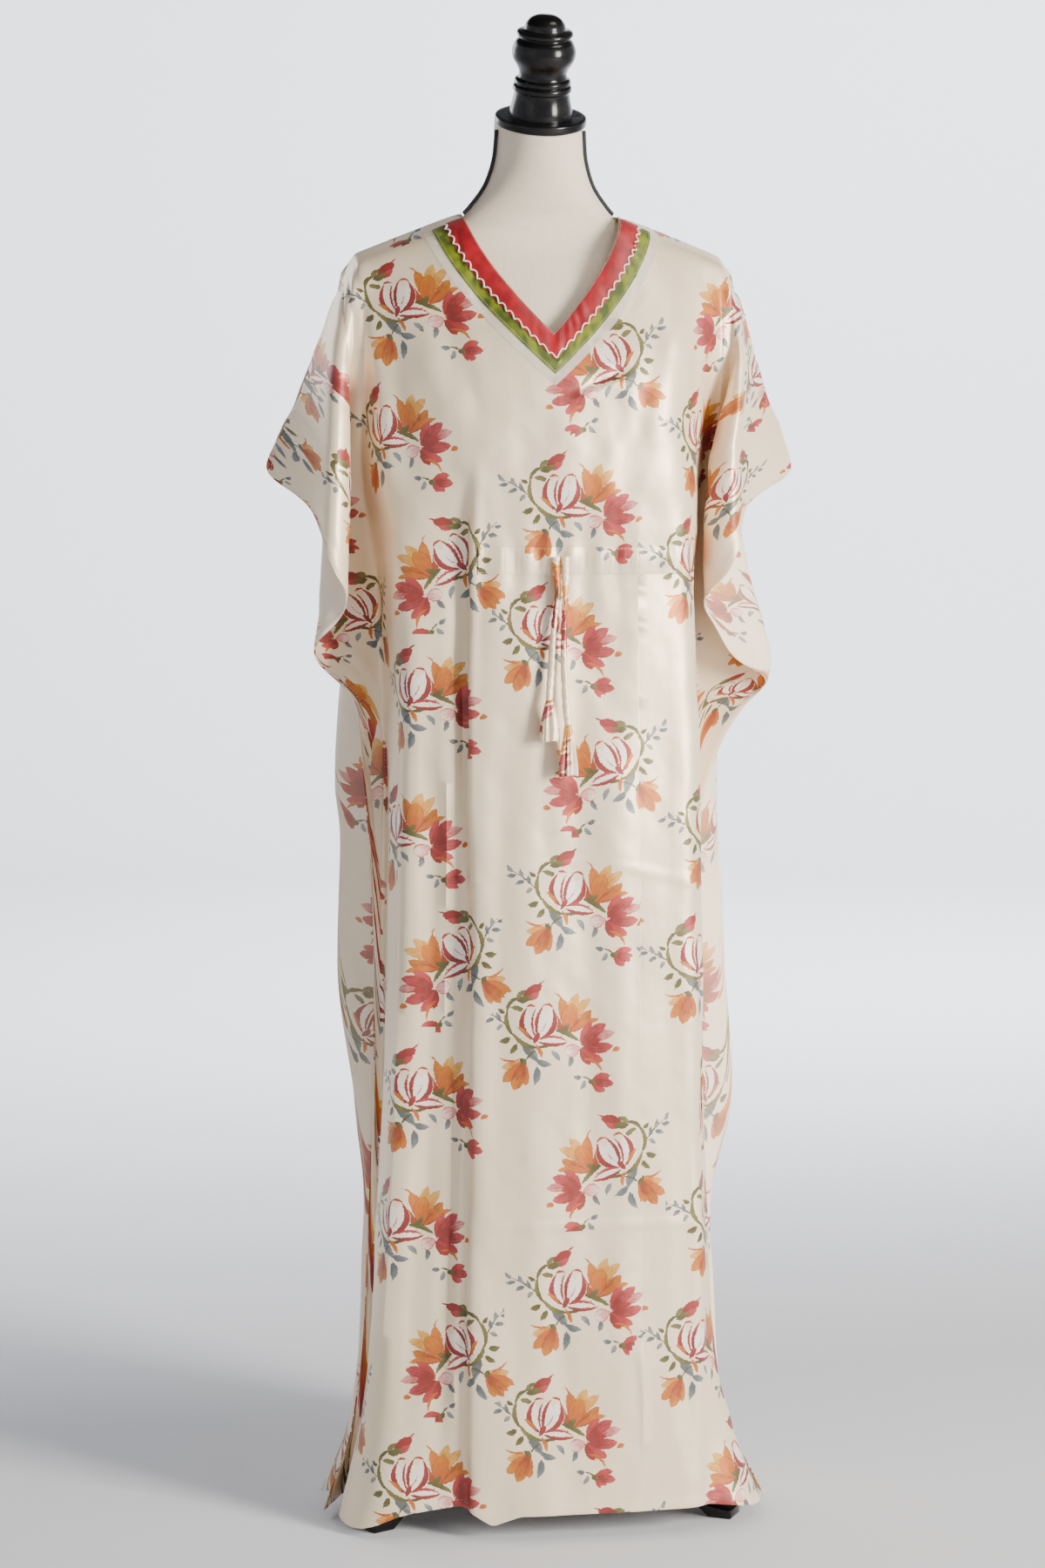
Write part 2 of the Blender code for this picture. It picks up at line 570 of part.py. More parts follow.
# Lift a strip's points until none of its span sinks under the panel's faces
def settle(points, layer, flip):
    sign = -1 if flip else 1
    rows, cols = points.shape[:2]
    for turn in range(5):
        n = normals(points) * sign
        need = np.zeros((rows, cols))
        for r in range(rows - 1):
            for c in range(cols - 1):
                for a in (0.0, 0.25, 0.5, 0.75, 1.0):
                    for b in (0.0, 0.25, 0.5, 0.75, 1.0):
                        q = ((points[r, c] * (1 - b) + points[r, c + 1] * b) * (1 - a)
                             + (points[r + 1, c] * (1 - b) + points[r + 1, c + 1] * b) * a)
                        spot, normal, face, far = OUTER[layer].find_nearest(Vector(q))
                        sunk = -(Vector(q) - spot).dot(normal) * sign
                        if sunk > 0:
                            area = need[r:r + 2, c:c + 2]
                            np.maximum(area, min(sunk, 0.004), out=area)
        points = points + n * need[..., None]
    return points


neck_strips("front", 14, "neck_band", "neck_trim")
neck_strips("back", 9, "neck_band_back", "neck_trim_back")


# The drawstring's casing lies on the front's own rows between its two seams
def casing():
    rows = front_points[CASING_ROW - 1:CASING_ROW + 3]
    flat = (rows[1, :, 0] > -0.078) & (rows[1, :, 0] < 0.134) & (rows[1, :, 1] < -0.11)
    keep = np.nonzero(flat)[0]
    n = normals(front_points)[CASING_ROW:CASING_ROW + 2, keep[0]:keep[-1] + 1]
    points = rows[1:3, keep[0]:keep[-1] + 1]
    out = CLOTH / 2 + GAP
    inner, outer = points + n * out, points + n * (out + STRIP)
    count = points.shape[1]
    middle = 0.5 * (outer[0] + outer[1]) + 0.5 * (n[0] + n[1]) * 0.0012
    vertices = np.concatenate([outer[0], middle, outer[1], inner[0], inner[1]])
    faces = []
    for c in range(count - 1):
        for a, b in ((0, count), (count, 2 * count)):
            faces.append((a + c, b + c, b + c + 1, a + c + 1))
        faces.append((3 * count + c, 3 * count + c + 1, 4 * count + c + 1, 4 * count + c))
        faces.append((c, c + 1, 3 * count + c + 1, 3 * count + c))
        faces.append((2 * count + c, 4 * count + c, 4 * count + c + 1, 2 * count + c + 1))
    last = count - 1
    faces.append((0, 3 * count, 4 * count, 2 * count, count))
    faces.append((last, count + last, 2 * count + last, 4 * count + last, 3 * count + last))
    place("waist_casing", vertices, faces, IVORY, 0.35)


casing()


# Dress form: one closed loft of rounded sections with a round base plate edge
def torso():
    sides = 30
    heights = np.linspace(0, len(TORSO) - 1, 25)
    table = down(np.array(TORSO), heights)
    vertices, faces = [], []
    angle = np.linspace(0, 2 * math.pi, sides, endpoint=False)
    for z, half, front, back in table:
        power = float(np.interp(z, [1.20, 1.30], [2.3, 2.0]))
        c, s = np.cos(angle), np.sin(angle)
        x = half * np.sign(c) * np.abs(c) ** (2 / power)
        y = np.where(s < 0, -front, back) * np.sign(s) * np.abs(s) ** (2 / power)
        lean_share = np.clip((z - 1.402) / 0.059, 0, 1)
        tilt = lean_share * math.tan(CAP_TILT) * (y + 0.020)
        vertices += list(np.stack([x, y, z + tilt], axis=1))
    rings = len(table)
    for r in range(rings - 1):
        for i in range(sides):
            j = (i + 1) % sides
            faces.append((r * sides + i, r * sides + j, (r + 1) * sides + j, (r + 1) * sides + i))
    faces.append(tuple(range(sides))[::-1])
    faces.append(tuple((rings - 1) * sides + i for i in range(sides)))
    return place("torso", vertices, faces, (0.74, 0.68, 0.58), 0.85)


torso_body = torso()


# Turned pieces: a profile of radius and height, top to bottom, spun about its axis
def turned(name, profile, colour, roughness, steps=20):
    rings = [(r, h) for r, h in profile]
    vertices, faces = [], []
    index = []
    for r, h in rings:
        if r < 1e-6:
            index.append([len(vertices)])
            vertices.append((0, 0, h))
        else:
            index.append(list(range(len(vertices), len(vertices) + steps)))
            for i in range(steps):
                a = 2 * math.pi * i / steps
                vertices.append((r * math.cos(a), r * math.sin(a), h))
    for up, low in zip(index[:-1], index[1:]):
        for i in range(steps):
            j = (i + 1) % steps
            if len(up) == 1:
                faces.append((up[0], low[i], low[j]))
            elif len(low) == 1:
                faces.append((up[j], up[i], low[0]))
            else:
                faces.append((up[i], low[i], low[j], up[j]))
    if len(index[0]) > 1:
        faces.append(tuple(index[0]))
    if len(index[-1]) > 1:
        faces.append(tuple(index[-1][::-1]))
    return place(name, vertices, faces, colour, roughness)


def lean(body, centre):
    body.data.transform(Matrix.Translation(Vector(centre)) @ Matrix.Rotation(CAP_TILT, 4, "X"))


BLACK = (0.012, 0.011, 0.011)
cap = turned("neck_cap", [(0.0, CAP_HEIGHT), (CAP_RADIUS - 0.0015, CAP_HEIGHT),
                          (CAP_RADIUS, CAP_HEIGHT - 0.0015), (CAP_RADIUS, 0.0015),
                          (CAP_RADIUS - 0.0015, 0.0), (0.0, 0.0)], BLACK, 0.3)
lean(cap, CAP_CENTRE)
finial = turned("finial", FINIAL + ((0.0, 0.0),), BLACK, 0.3, 18)
above = Matrix.Rotation(CAP_TILT, 4, "X") @ Vector((0, 0, CAP_HEIGHT + GAP))
lean(finial, Vector(CAP_CENTRE) + above)


# Twisted cord trims lie on the form's two neck seams
FORM = BVHTree.FromPolygons([v.co for v in torso_body.data.vertices],
                            [tuple(p.vertices) for p in torso_body.data.polygons])


def rope(name, side):
    route = []
    for z, x, y in ((1.4545, 0.0486, -0.020), (1.440, 0.0490, -0.018), (1.424, 0.0510, -0.016),
                    (1.408, 0.0552, -0.013), (1.394, 0.0615, -0.010), (1.384, 0.0680, -0.008)):
        route.append((side * x, y, z))
    curve = bpy.data.curves.new(name, "CURVE")
    curve.dimensions = "3D"
    curve.bevel_depth = ROPE
    curve.bevel_resolution = 2
    curve.use_fill_caps = True
    line = curve.splines.new("POLY")
    smooth = down(np.array(route), np.linspace(0, len(route) - 1, 9))
    line.points.add(len(smooth) - 1)
    for p, co in zip(line.points, smooth):
        spot, normal, face, far = FORM.find_nearest(Vector(co))
        p.co = (*(spot + normal * (ROPE + GAP)), 1.0)
    curve.materials.append(material(name, BLACK, 0.7))
    body = bpy.data.objects.new(name, curve)
    home.objects.link(body)


rope("neck_rope_left", -1)
rope("neck_rope_right", 1)

# Stand: pole, hub and three legs
turned("pole", [(0.0, 0.6997), (0.016, 0.6997), (0.016, 0.2503), (0.0, 0.2503)], BLACK, 0.35, 20)
turned("hub", [(0.0, 0.250), (0.026, 0.250), (0.029, 0.246), (0.029, 0.186), (0.026, 0.180),
               (0.0, 0.180)], BLACK, 0.35, 20)


def leg(name, degrees):
    a = math.radians(degrees)
    out = Vector((math.sin(a), -math.cos(a), 0))
    across_leg = Vector((math.cos(a), math.sin(a), 0))
    stations = ((0.0293, 0.212, 0.022, 0.016), (0.070, 0.200, 0.022, 0.016),
                (0.115, 0.156, 0.021, 0.015), (0.158, 0.086, 0.020, 0.014),
                (0.180, 0.036, 0.020, 0.013), (0.200, 0.0135, 0.021, 0.0),
                (0.226, 0.0100, 0.021, 0.0))
    vertices, faces = [], []
    for r, z, w, d in stations:
        foot = d == 0.0
        upper, lower = (z, 0.0) if foot else (z + d, z - d)
        lower = max(lower, 0.0)
        inward = 0.0 if foot or r < 0.03 else 0.006
        for dw, h, back in ((-w, lower, -inward), (w, lower, -inward),
                            (w, upper, inward), (-w, upper, inward)):
            vertices.append(out * (r + back) + across_leg * (dw / 2 * 1.4) + Vector((0, 0, h)))
    for s in range(len(stations) - 1):
        for i in range(4):
            j = (i + 1) % 4
            faces.append((4 * s + i, 4 * s + j, 4 * s + 4 + j, 4 * s + 4 + i))
    faces.append((3, 2, 1, 0))
    end = 4 * (len(stations) - 1)
    faces.append((end, end + 1, end + 2, end + 3))
    return place(name, vertices, faces, BLACK, 0.35, False)


leg("leg_left", -60)
leg("leg_right", 60)
leg("leg_back", 180)

# Drawstring tails: routes as x, y, z from the casing's mouth down, and their tassels
TAILS = {
    "drawstring_left": ((0.000, -0.1347, 1.014), (0.0005, -0.1357, 1.000), (0.002, -0.1375, 0.978),
                        (-0.002, -0.1400, 0.950), (-0.005, -0.1430, 0.920), (-0.007, -0.1470, 0.892),
                        (-0.009, -0.1510, 0.868)),
    "drawstring_right": ((0.0095, -0.1348, 1.014), (0.0100, -0.1358, 1.000), (0.0095, -0.1375, 0.975),
                         (0.008, -0.1400, 0.945), (0.007, -0.1435, 0.910), (0.008, -0.1490, 0.870),
                         (0.010, -0.1530, 0.843)),
}


def drawstring(name, route):
    smooth = down(np.array(route), np.linspace(0, len(route) - 1, 10))
    curve = bpy.data.curves.new(name, "CURVE")
    curve.dimensions = "3D"
    curve.bevel_depth = 0.0033
    curve.bevel_resolution = 2
    curve.use_fill_caps = True
    line = curve.splines.new("POLY")
    line.points.add(len(smooth) - 1)
    for p, co in zip(line.points, smooth):
        p.co = (*co, 1.0)
    curve.materials.append(material(name, IVORY, 0.4))
    body = bpy.data.objects.new(name, curve)
    home.objects.link(body)
    return Vector(smooth[-1])


def tassel(name, top, height, width):
    profile = [(0.0, 0.0), (0.0035, -0.0004), (0.0045, -0.005), (0.0070, -0.5 * height),
               (width, -0.93 * height), (width * 0.96, -height), (0.0, -height)]
    body = turned(name, profile, IVORY, 0.4, 14)
    body.data.transform(Matrix.Translation(top - Vector((0, 0, GAP))))
    body.data.transform(Matrix.Translation((0, -0.002, 0)))


end_left = drawstring("drawstring_left", TAILS["drawstring_left"])
end_right = drawstring("drawstring_right", TAILS["drawstring_right"])
tassel("tassel_left", end_left, 0.042, 0.0100)
tassel("tassel_right", end_right, 0.052, 0.0100)

for body in home.objects:
    body.data.transform(Matrix.Translation(Vector(SHIFT)))
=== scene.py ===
# %% [markdown]
# # A printed satin kaftan on a dress form
# The real object is a long kaftan: two flat panels of printed silk satin, sewn at the
# shoulders and down two inner seams, with the cloth outside those seams hanging free as
# wings. It hangs on a limbless linen form with a turned black stand.
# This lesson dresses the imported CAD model. Measures are in metres in that model's frame,
# apart from tables that say millimetres, so each piece goes where the CAD says.

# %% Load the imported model
import math

import bmesh
import bpy
import numpy as np
from mathutils import Matrix, Vector
from mathutils.bvhtree import BVHTree


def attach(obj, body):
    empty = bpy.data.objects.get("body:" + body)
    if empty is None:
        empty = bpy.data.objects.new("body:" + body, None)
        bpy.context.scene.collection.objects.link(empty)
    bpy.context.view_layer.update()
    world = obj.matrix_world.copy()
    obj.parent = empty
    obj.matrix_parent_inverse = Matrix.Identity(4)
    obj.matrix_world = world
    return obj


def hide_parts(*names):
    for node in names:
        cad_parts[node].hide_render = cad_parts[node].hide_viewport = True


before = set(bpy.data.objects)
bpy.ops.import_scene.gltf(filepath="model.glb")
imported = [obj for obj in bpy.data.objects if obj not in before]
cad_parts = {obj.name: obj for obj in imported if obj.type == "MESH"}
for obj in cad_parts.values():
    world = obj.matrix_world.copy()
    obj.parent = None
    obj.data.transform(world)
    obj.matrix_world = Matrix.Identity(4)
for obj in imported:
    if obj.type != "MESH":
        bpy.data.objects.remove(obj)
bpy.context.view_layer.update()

home = bpy.context.scene.collection


def placed(name, data):
    thing = bpy.data.objects.new(name, data)
    home.objects.link(thing)
    return thing


# %% [markdown]
# ## The camera and the studio
# The picture is taken slightly from the left with a long lens, a little above the waist.
# Pale paper is floor and wall in one, curved up all round like a bowl, so that no corner
# shows from any side, and it glows faintly as if lamps of its own lit it. One soft light
# from the right gives satin its broad bright bands; a weaker one fills the left.

# %% Camera
# The middle of the model's box stands on the origin, so every piece is moved by this much
SHIFT = (0.0065, -0.0452, 0.0)
CAMERA_DISTANCE = 3.8
CAMERA_TURN = math.radians(-8.0)
CAMERA_HEIGHT = 1.10
AIM = Vector((-0.0157 + SHIFT[0], 0.002 + SHIFT[1], 0.770))

lens = bpy.data.cameras.new("photo_camera")
lens.sensor_fit = "VERTICAL"
lens.sensor_height = 36.0
lens.lens = 82.4
camera = placed("photo_camera", lens)
camera.location = (CAMERA_DISTANCE * math.sin(CAMERA_TURN) + SHIFT[0],
                   -CAMERA_DISTANCE * math.cos(CAMERA_TURN) + SHIFT[1], CAMERA_HEIGHT)
camera.rotation_euler = (AIM - camera.location).to_track_quat("-Z", "Y").to_euler()
bpy.context.scene.camera = camera
print("camera at", tuple(round(c, 2) for c in camera.location))


# %% Floor, background and lights
def area_light(name, place, aim, size, power, colour=(1.0, 1.0, 1.0)):
    light = bpy.data.lights.new(name, "AREA")
    light.shape = "RECTANGLE"
    light.size, light.size_y = size
    light.energy = power
    light.color = colour
    lamp = placed(name, light)
    lamp.location = place
    lamp.rotation_euler = (Vector(aim) - Vector(place)).to_track_quat("-Z", "Y").to_euler()


PAPER_GLOW = (0.03, 0.22)


def round_turn(sides):
    return np.linspace(0, 2 * math.pi, sides, endpoint=False)


# A new node: its inputs take a value or a link, its settings are named
def put(tree, kind, inputs=(), **settings):
    node = tree.nodes.new(kind)
    for key, value in settings.items():
        setattr(node, key, value)
    for key, value in dict(inputs).items():
        if isinstance(value, bpy.types.NodeSocket):
            tree.links.new(value, node.inputs[key])
        else:
            node.inputs[key].default_value = value
    return node


def paper_bowl():
    floor, wall, top, sides = 6.0, 7.2, 5.6, 96
    bend = wall - floor
    line = [(0.0, 0.0), (2.0, 0.0), (4.0, 0.0), (floor, 0.0)]
    for i in range(1, 13):
        a = i / 12 * math.pi / 2
        line.append((floor + bend * math.sin(a), bend - bend * math.cos(a)))
    line.append((wall, top))
    turn = round_turn(sides)
    corners = [(r * math.cos(a), r * math.sin(a), z) for r, z in line[1:] for a in turn]
    centre = len(corners)
    corners.append((0.0, 0.0, 0.0))
    faces = [(centre, i, (i + 1) % sides) for i in range(sides)]
    for ring in range(len(line) - 2):
        for i in range(sides):
            j = (i + 1) % sides
            low, high = ring * sides, (ring + 1) * sides
            faces.append((low + i, high + i, high + j, low + j))
    mesh = bpy.data.meshes.new("paper_bowl")
    mesh.from_pydata(corners, [], faces)
    mesh.shade_smooth()
    paper = bpy.data.materials.new("studio_paper")
    paper.use_nodes = True
    tree = paper.node_tree
    shader = tree.nodes["Principled BSDF"]
    shader.inputs["Base Color"].default_value = (0.66, 0.67, 0.70, 1.0)
    shader.inputs["Roughness"].default_value = 0.9
    shader.inputs["Emission Color"].default_value = (0.84, 0.87, 0.93, 1.0)
    place = put(tree, "ShaderNodeTexCoord").outputs["Object"]
    far = put(tree, "ShaderNodeVectorMath", {0: place}, operation="LENGTH").outputs["Value"]
    glow = put(tree, "ShaderNodeMapRange", {0: far, 1: 0.8, 2: 6.5, 3: PAPER_GLOW[0],
               4: PAPER_GLOW[1]}, interpolation_type="SMOOTHSTEP")
    tree.links.new(glow.outputs[0], shader.inputs["Emission Strength"])
    mesh.materials.append(paper)
    placed("paper_bowl", mesh)


paper_bowl()
area_light("key", (2.7, -2.8, 1.6), (0.0, -0.05, 0.85), (1.0, 1.6), 350.0, (1.0, 0.955, 0.88))
area_light("fill", (-2.8, -2.6, 1.3), (0.0, 0.0, 0.7), (1.6, 2.2), 6.0, (1.0, 0.97, 0.93))
area_light("above", (1.2, -1.0, 3.4), (0.0, 0.0, 0.9), (1.0, 0.8), 26.0, (1.0, 0.97, 0.92))
area_light("rear", (-2.2, 3.2, 2.4), (0.0, 0.0, 0.9), (1.4, 1.6), 40.0)
area_light("wall", (1.6, 2.6, 3.4), (0.8, 7.0, 0.9), (2.4, 1.6), 700.0, (0.96, 0.97, 1.0))
room = bpy.data.worlds.new("studio_air")
room.use_nodes = True
room.node_tree.nodes["Background"].inputs["Color"].default_value = (0.80, 0.83, 0.88, 1.0)
room.node_tree.nodes["Background"].inputs["Strength"].default_value = 0.06
bpy.context.scene.world = room

# %% [markdown]
# ## The sizes that the kaftan is worked out from
# A fold is a curve seen from above, so each height has one section: the body between the
# two side seams, and on each side the wing, which doubles back on itself. These tables
# hold where the folds stand at each height. They are the same as in the CAD source.

# %% Section tables
# Rows are written in millimetres, and shares in thousandths, to keep them short
def thousandths(*rows):
    return tuple(tuple(number / 1000 for number in row) for row in rows)


# Driving sizes
CLOTH = 0.0015
GAP = 0.0003
SEAM = CLOTH / 2 + GAP / 2
NECK_HALF = 0.083
NECK_Z = 1.370
SHOULDER_X = 0.200
SHOULDER_Z = 1.324
V_Z = 1.240
V_BOW = 1.45
BACK_SCOOP = 0.020
BAND = 0.018
TRIM = 0.010
ROPE = 0.0022
CASING_TOP = 1.024
CASING_LOW = 0.996
ROUND = 0.015

# Heights of the stations that every section table below is read at
STATIONS = (1.280, 1.235, 1.175, 1.105, 1.055, CASING_TOP, CASING_LOW, 0.945, 0.905, 0.855,
            0.790, 0.720, 0.580, 0.430, 0.300, 0.180, 0.090, 0.020)
# Body of the front panel: z, seam L, corner L x and y, pleat x, pleat depth,
# front y, crease x, corner R x and y, seam R
BODY = thousandths(
    (1280, -190, -176, -54, -85, 0, -98, 125, 165, -58, 188),
    (1235, -190, -178, -68, -85, 100, -120, 130, 165, -74, 188),
    (1175, -191, -180, -80, -86, 300, -134, 132, 163, -85, 186),
    (1105, -190, -180, -88, -88, 600, -136, 135, 160, -92, 182),
    (1000, -176, -163, -86, -88, 800, -126, 140, 155, -86, 170),
    (855, -168, -160, -92, -88, 1000, -136, 143, 155, -92, 168),
    (720, -168, -162, -98, -88, 1000, -144, 144, 157, -98, 170),
    (430, -172, -172, -105, -92, 1000, -155, 146, 162, -105, 176),
    (180, -184, -188, -110, -95, 1000, -162, 150, 177, -114, 186),
    (90, -194, -200, -122, -95, 1000, -166, 151, 196, -126, 195),
    (20, -206, -222, -140, -95, 1000, -170, 152, 226, -142, 208))

# Front wings: z, fold 1 x, fold 2 x, fold 3 x, layer 1 y, layer 2 y, layer 3 y, reach
FRONT_LEFT = thousandths(
    (1280, 200, 205, 210, -50, -44, -34, 1000),
    (1235, 201, 207, 219, -50, -56, -58, 1000),
    (1175, 212, 204, 227, -34, -50, -80, 1000),
    (1105, 222, 203, 232, -14, -50, -98, 1000),
    (1055, 228, 205, 232, -12, -52, -100, 940),
    (1000, 232, 206, 236, -12, -52, -100, 820),
    (945, 236, 206, 232, -12, -52, -98, 560),
    (905, 242, 206, 228, -12, -52, -96, 360),
    (855, 228, 200, 220, -14, -52, -96, 240),
    (790, 220, 196, 216, -16, -52, -96, 220),
    (720, 213, 192, 212, -18, -52, -96, 200),
    (580, 200, 190, 210, -18, -52, -96, 140),
    (430, 200, 190, 210, -18, -52, -96, 130),
    (300, 200, 190, 210, -18, -52, -96, 130),
    (180, 205, 195, 212, -20, -55, -96, 130),
    (90, 215, 205, 218, -30, -62, -96, 160),
    (20, 238, 225, 235, -60, -85, -105, 340))
FRONT_RIGHT = thousandths(
    (1280, 198, 203, 209, -50, -44, -34, 1000),
    (1235, 198, 202, 209, -50, -56, -60, 1000),
    (1175, 200, 190, 206, -34, -52, -86, 1000),
    (1105, 206, 168, 202, -14, -50, -104, 1000),
    (1055, 212, 163, 204, -12, -52, -106, 920),
    (1000, 225, 163, 207, -12, -52, -106, 820),
    (945, 240, 164, 207, -12, -52, -104, 600),
    (905, 250, 164, 206, -12, -52, -102, 540),
    (855, 238, 166, 206, -12, -52, -102, 320),
    (790, 226, 172, 206, -14, -52, -102, 220),
    (720, 206, 180, 206, -16, -52, -102, 150),
    (580, 200, 186, 206, -18, -52, -102, 130),
    (430, 204, 188, 208, -18, -52, -102, 130),
    (300, 198, 186, 208, -18, -52, -102, 130),
    (180, 202, 190, 210, -22, -55, -102, 130),
    (90, 212, 200, 216, -40, -68, -104, 180),
    (20, 236, 222, 232, -85, -105, -118, 360))
# Back wings: z, fold 1 x, fold 2 x, layer 1 y, layer 2 y, edge y, reach
BACK_LEFT = thousandths(
    (1280, 200, 207, 42, 34, 20, 1000), (1235, 202, 209, 42, 44, 24, 1000),
    (1175, 206, 205, 30, 52, 30, 1000), (1105, 212, 194, 15, 60, 36, 1000),
    (1055, 212, 188, 14, 64, 46, 920), (1000, 206, 182, 14, 64, 60, 720),
    (905, 207, 180, 14, 64, 64, 620), (790, 215, 180, 15, 62, 64, 560),
    (720, 218, 182, 16, 60, 64, 450), (580, 227, 186, 18, 56, 74, 420),
    (430, 202, 184, 18, 52, 74, 420), (300, 187, 182, 18, 50, 74, 300),
    (180, 192, 184, 18, 50, 74, 300), (90, 202, 188, 20, 52, 74, 420),
    (20, 238, 200, 16, 50, 74, 450))
BACK_RIGHT = thousandths(
    (1280, 199, 206, 42, 34, 20, 1000), (1235, 200, 206, 42, 46, 24, 1000),
    (1175, 203, 203, 30, 54, 30, 1000), (1105, 206, 194, 15, 62, 36, 1000),
    (1055, 204, 186, 14, 64, 46, 920), (1000, 200, 178, 14, 64, 60, 720),
    (905, 201, 176, 14, 64, 64, 620), (790, 199, 178, 15, 62, 64, 560),
    (720, 201, 180, 16, 58, 74, 500), (580, 216, 184, 18, 56, 74, 420),
    (430, 227, 186, 18, 54, 74, 420), (300, 192, 182, 18, 50, 74, 360),
    (180, 196, 184, 18, 50, 74, 340), (90, 207, 188, 18, 52, 74, 420),
    (20, 232, 200, 16, 50, 74, 450))
# Back of the body: z, back y, fold depth, swell where it hangs over the rear leg
BACK_BODY = thousandths(
    (1280, 80, 1, 0), (1235, 99, 2, 0), (1175, 109, 3, 0), (1105, 112, 5, 0), (1000, 114, 8, 0),
    (855, 122, 10, 0), (580, 134, 14, 6), (300, 148, 15, 30), (180, 154, 14, 58), (90, 158, 12, 82),
    (20, 162, 10, 106))
# Sleeve seam from the shoulder down to the wing tip: z, left x, right x
SLEEVE_SEAM = thousandths(
    (1305, 207, 208), (1280, 215, 217), (1235, 231, 229), (1175, 253, 248), (1105, 285, 272))
# Free edge below the tips, where it still stands out: z, front L, front R, back L, back R
EDGE = thousandths(
    (1105, 285, 272, 285, 272), (1055, 264, 246, 254, 246), (1000, 252, 240, 246, 240),
    (20, 252, 240, 240, 236))
# Torso: z, half width, front y, back y
TORSO = thousandths(
    (700, 140, -78, 92), (760, 150, -88, 100), (860, 152, -96, 104), (940, 138, -92, 88),
    (1020, 122, -84, 76), (1100, 138, -98, 84), (1170, 150, -118, 92), (1220, 165, -111, 84),
    (1265, 180, -92, 66), (1295, 187, -72, 54), (1312, 184, -58, 47), (1331.3, 161, -43, 38),
    (1347.3, 124, -37, 34), (1361.3, 86, -37, 32), (1379.3, 68, -45, 34), (1402, 54, -55, 34),
    (1430, 47, -62, 28), (1461, 45.5, -65.5, 25.5))
# Neck finial above its cap, from the tip down: radius, height on its axis
FINIAL = thousandths(
    (0, 105), (10, 104.2), (16.5, 101), (20.8, 95.2), (21.5, 89.5), (29, 88.2), (29.5, 84.2),
    (24.5, 82.2), (30, 77.5), (33.5, 69), (32.5, 60), (27, 51.2), (24.7, 45.7), (25.5, 40),
    (29, 38.4), (29.4, 34.5), (27, 33.5), (30.5, 31.5), (30.8, 27.2), (28.5, 25.8), (30, 16.5),
    (32.5, 7), (33, 0))
CAP_CENTRE = (0.0, -0.020, 1.4614)
CAP_RADIUS = 0.0478
CAP_HEIGHT = 0.009
CAP_TILT = math.radians(21.0)


# %% [markdown]
# ## From tables to a surface
# Across the cloth a B-spline runs through the section's control points, which keeps every
# fold soft. Down the cloth the sections join by a curve that never overshoots. A point of
# a panel is therefore a function of u, left to right, and v, stations down.

# %% Panel functions
# Smooth sections: clamped cubic B-spline across, monotone cubic down
def across(count, u):
    degree = 3
    knots = np.concatenate([np.zeros(3), np.linspace(0, 1, count - 2), np.ones(3)])
    u = np.clip(np.asarray(u, float), 0, 1 - 1e-12)
    weights = [((u >= knots[i]) & (u < knots[i + 1])).astype(float)
               for i in range(len(knots) - 1)]
    for d in range(1, degree + 1):
        step = []
        for i in range(len(knots) - 1 - d):
            left = knots[i + d] - knots[i]
            right = knots[i + d + 1] - knots[i + 1]
            value = np.zeros_like(u)
            if left > 0:
                value = value + (u - knots[i]) / left * weights[i]
            if right > 0:
                value = value + (knots[i + d + 1] - u) / right * weights[i + 1]
            step.append(value)
        weights = step
    return np.stack(weights, axis=-1)


def down(stack, v):
    stack = np.asarray(stack, float)
    steps = np.diff(stack, axis=0)
    slopes = np.zeros_like(stack)
    before, after = steps[:-1], steps[1:]
    same = before * after > 0
    total = np.where(same, before + after, 1.0)
    slopes[1:-1] = np.where(same, 2 * before * after / total, 0.0)
    slopes[0] = steps[0]
    slopes[-1] = steps[-1]
    v = np.clip(np.asarray(v, float), 0, len(stack) - 1)
    k = np.minimum(v.astype(int), len(stack) - 2)
    t = v - k
    t = t.reshape(t.shape + (1,) * (stack.ndim - 1))
    a = 2 * t**3 - 3 * t**2 + 1
    b = t**3 - 2 * t**2 + t
    c = -2 * t**3 + 3 * t**2
    d = t**3 - t**2
    return a * stack[k] + b * slopes[k] + c * stack[k + 1] + d * slopes[k + 1]


def column(table, index, z):
    rows = sorted(table)
    return float(np.interp(z, [r[0] for r in rows], [r[index] for r in rows]))


def shoulder_z(x):
    run = np.clip(np.abs(x) - NECK_HALF, 0, None)
    return NECK_Z - run * (NECK_Z - SHOULDER_Z) / (SHOULDER_X - NECK_HALF)


def edge_x(z, side, layer):
    if z >= 1.105:
        return column(SLEEVE_SEAM, 1 if side < 0 else 2, z)
    return column(EDGE, (1 if side < 0 else 2) + (0 if layer == "front" else 2), z)


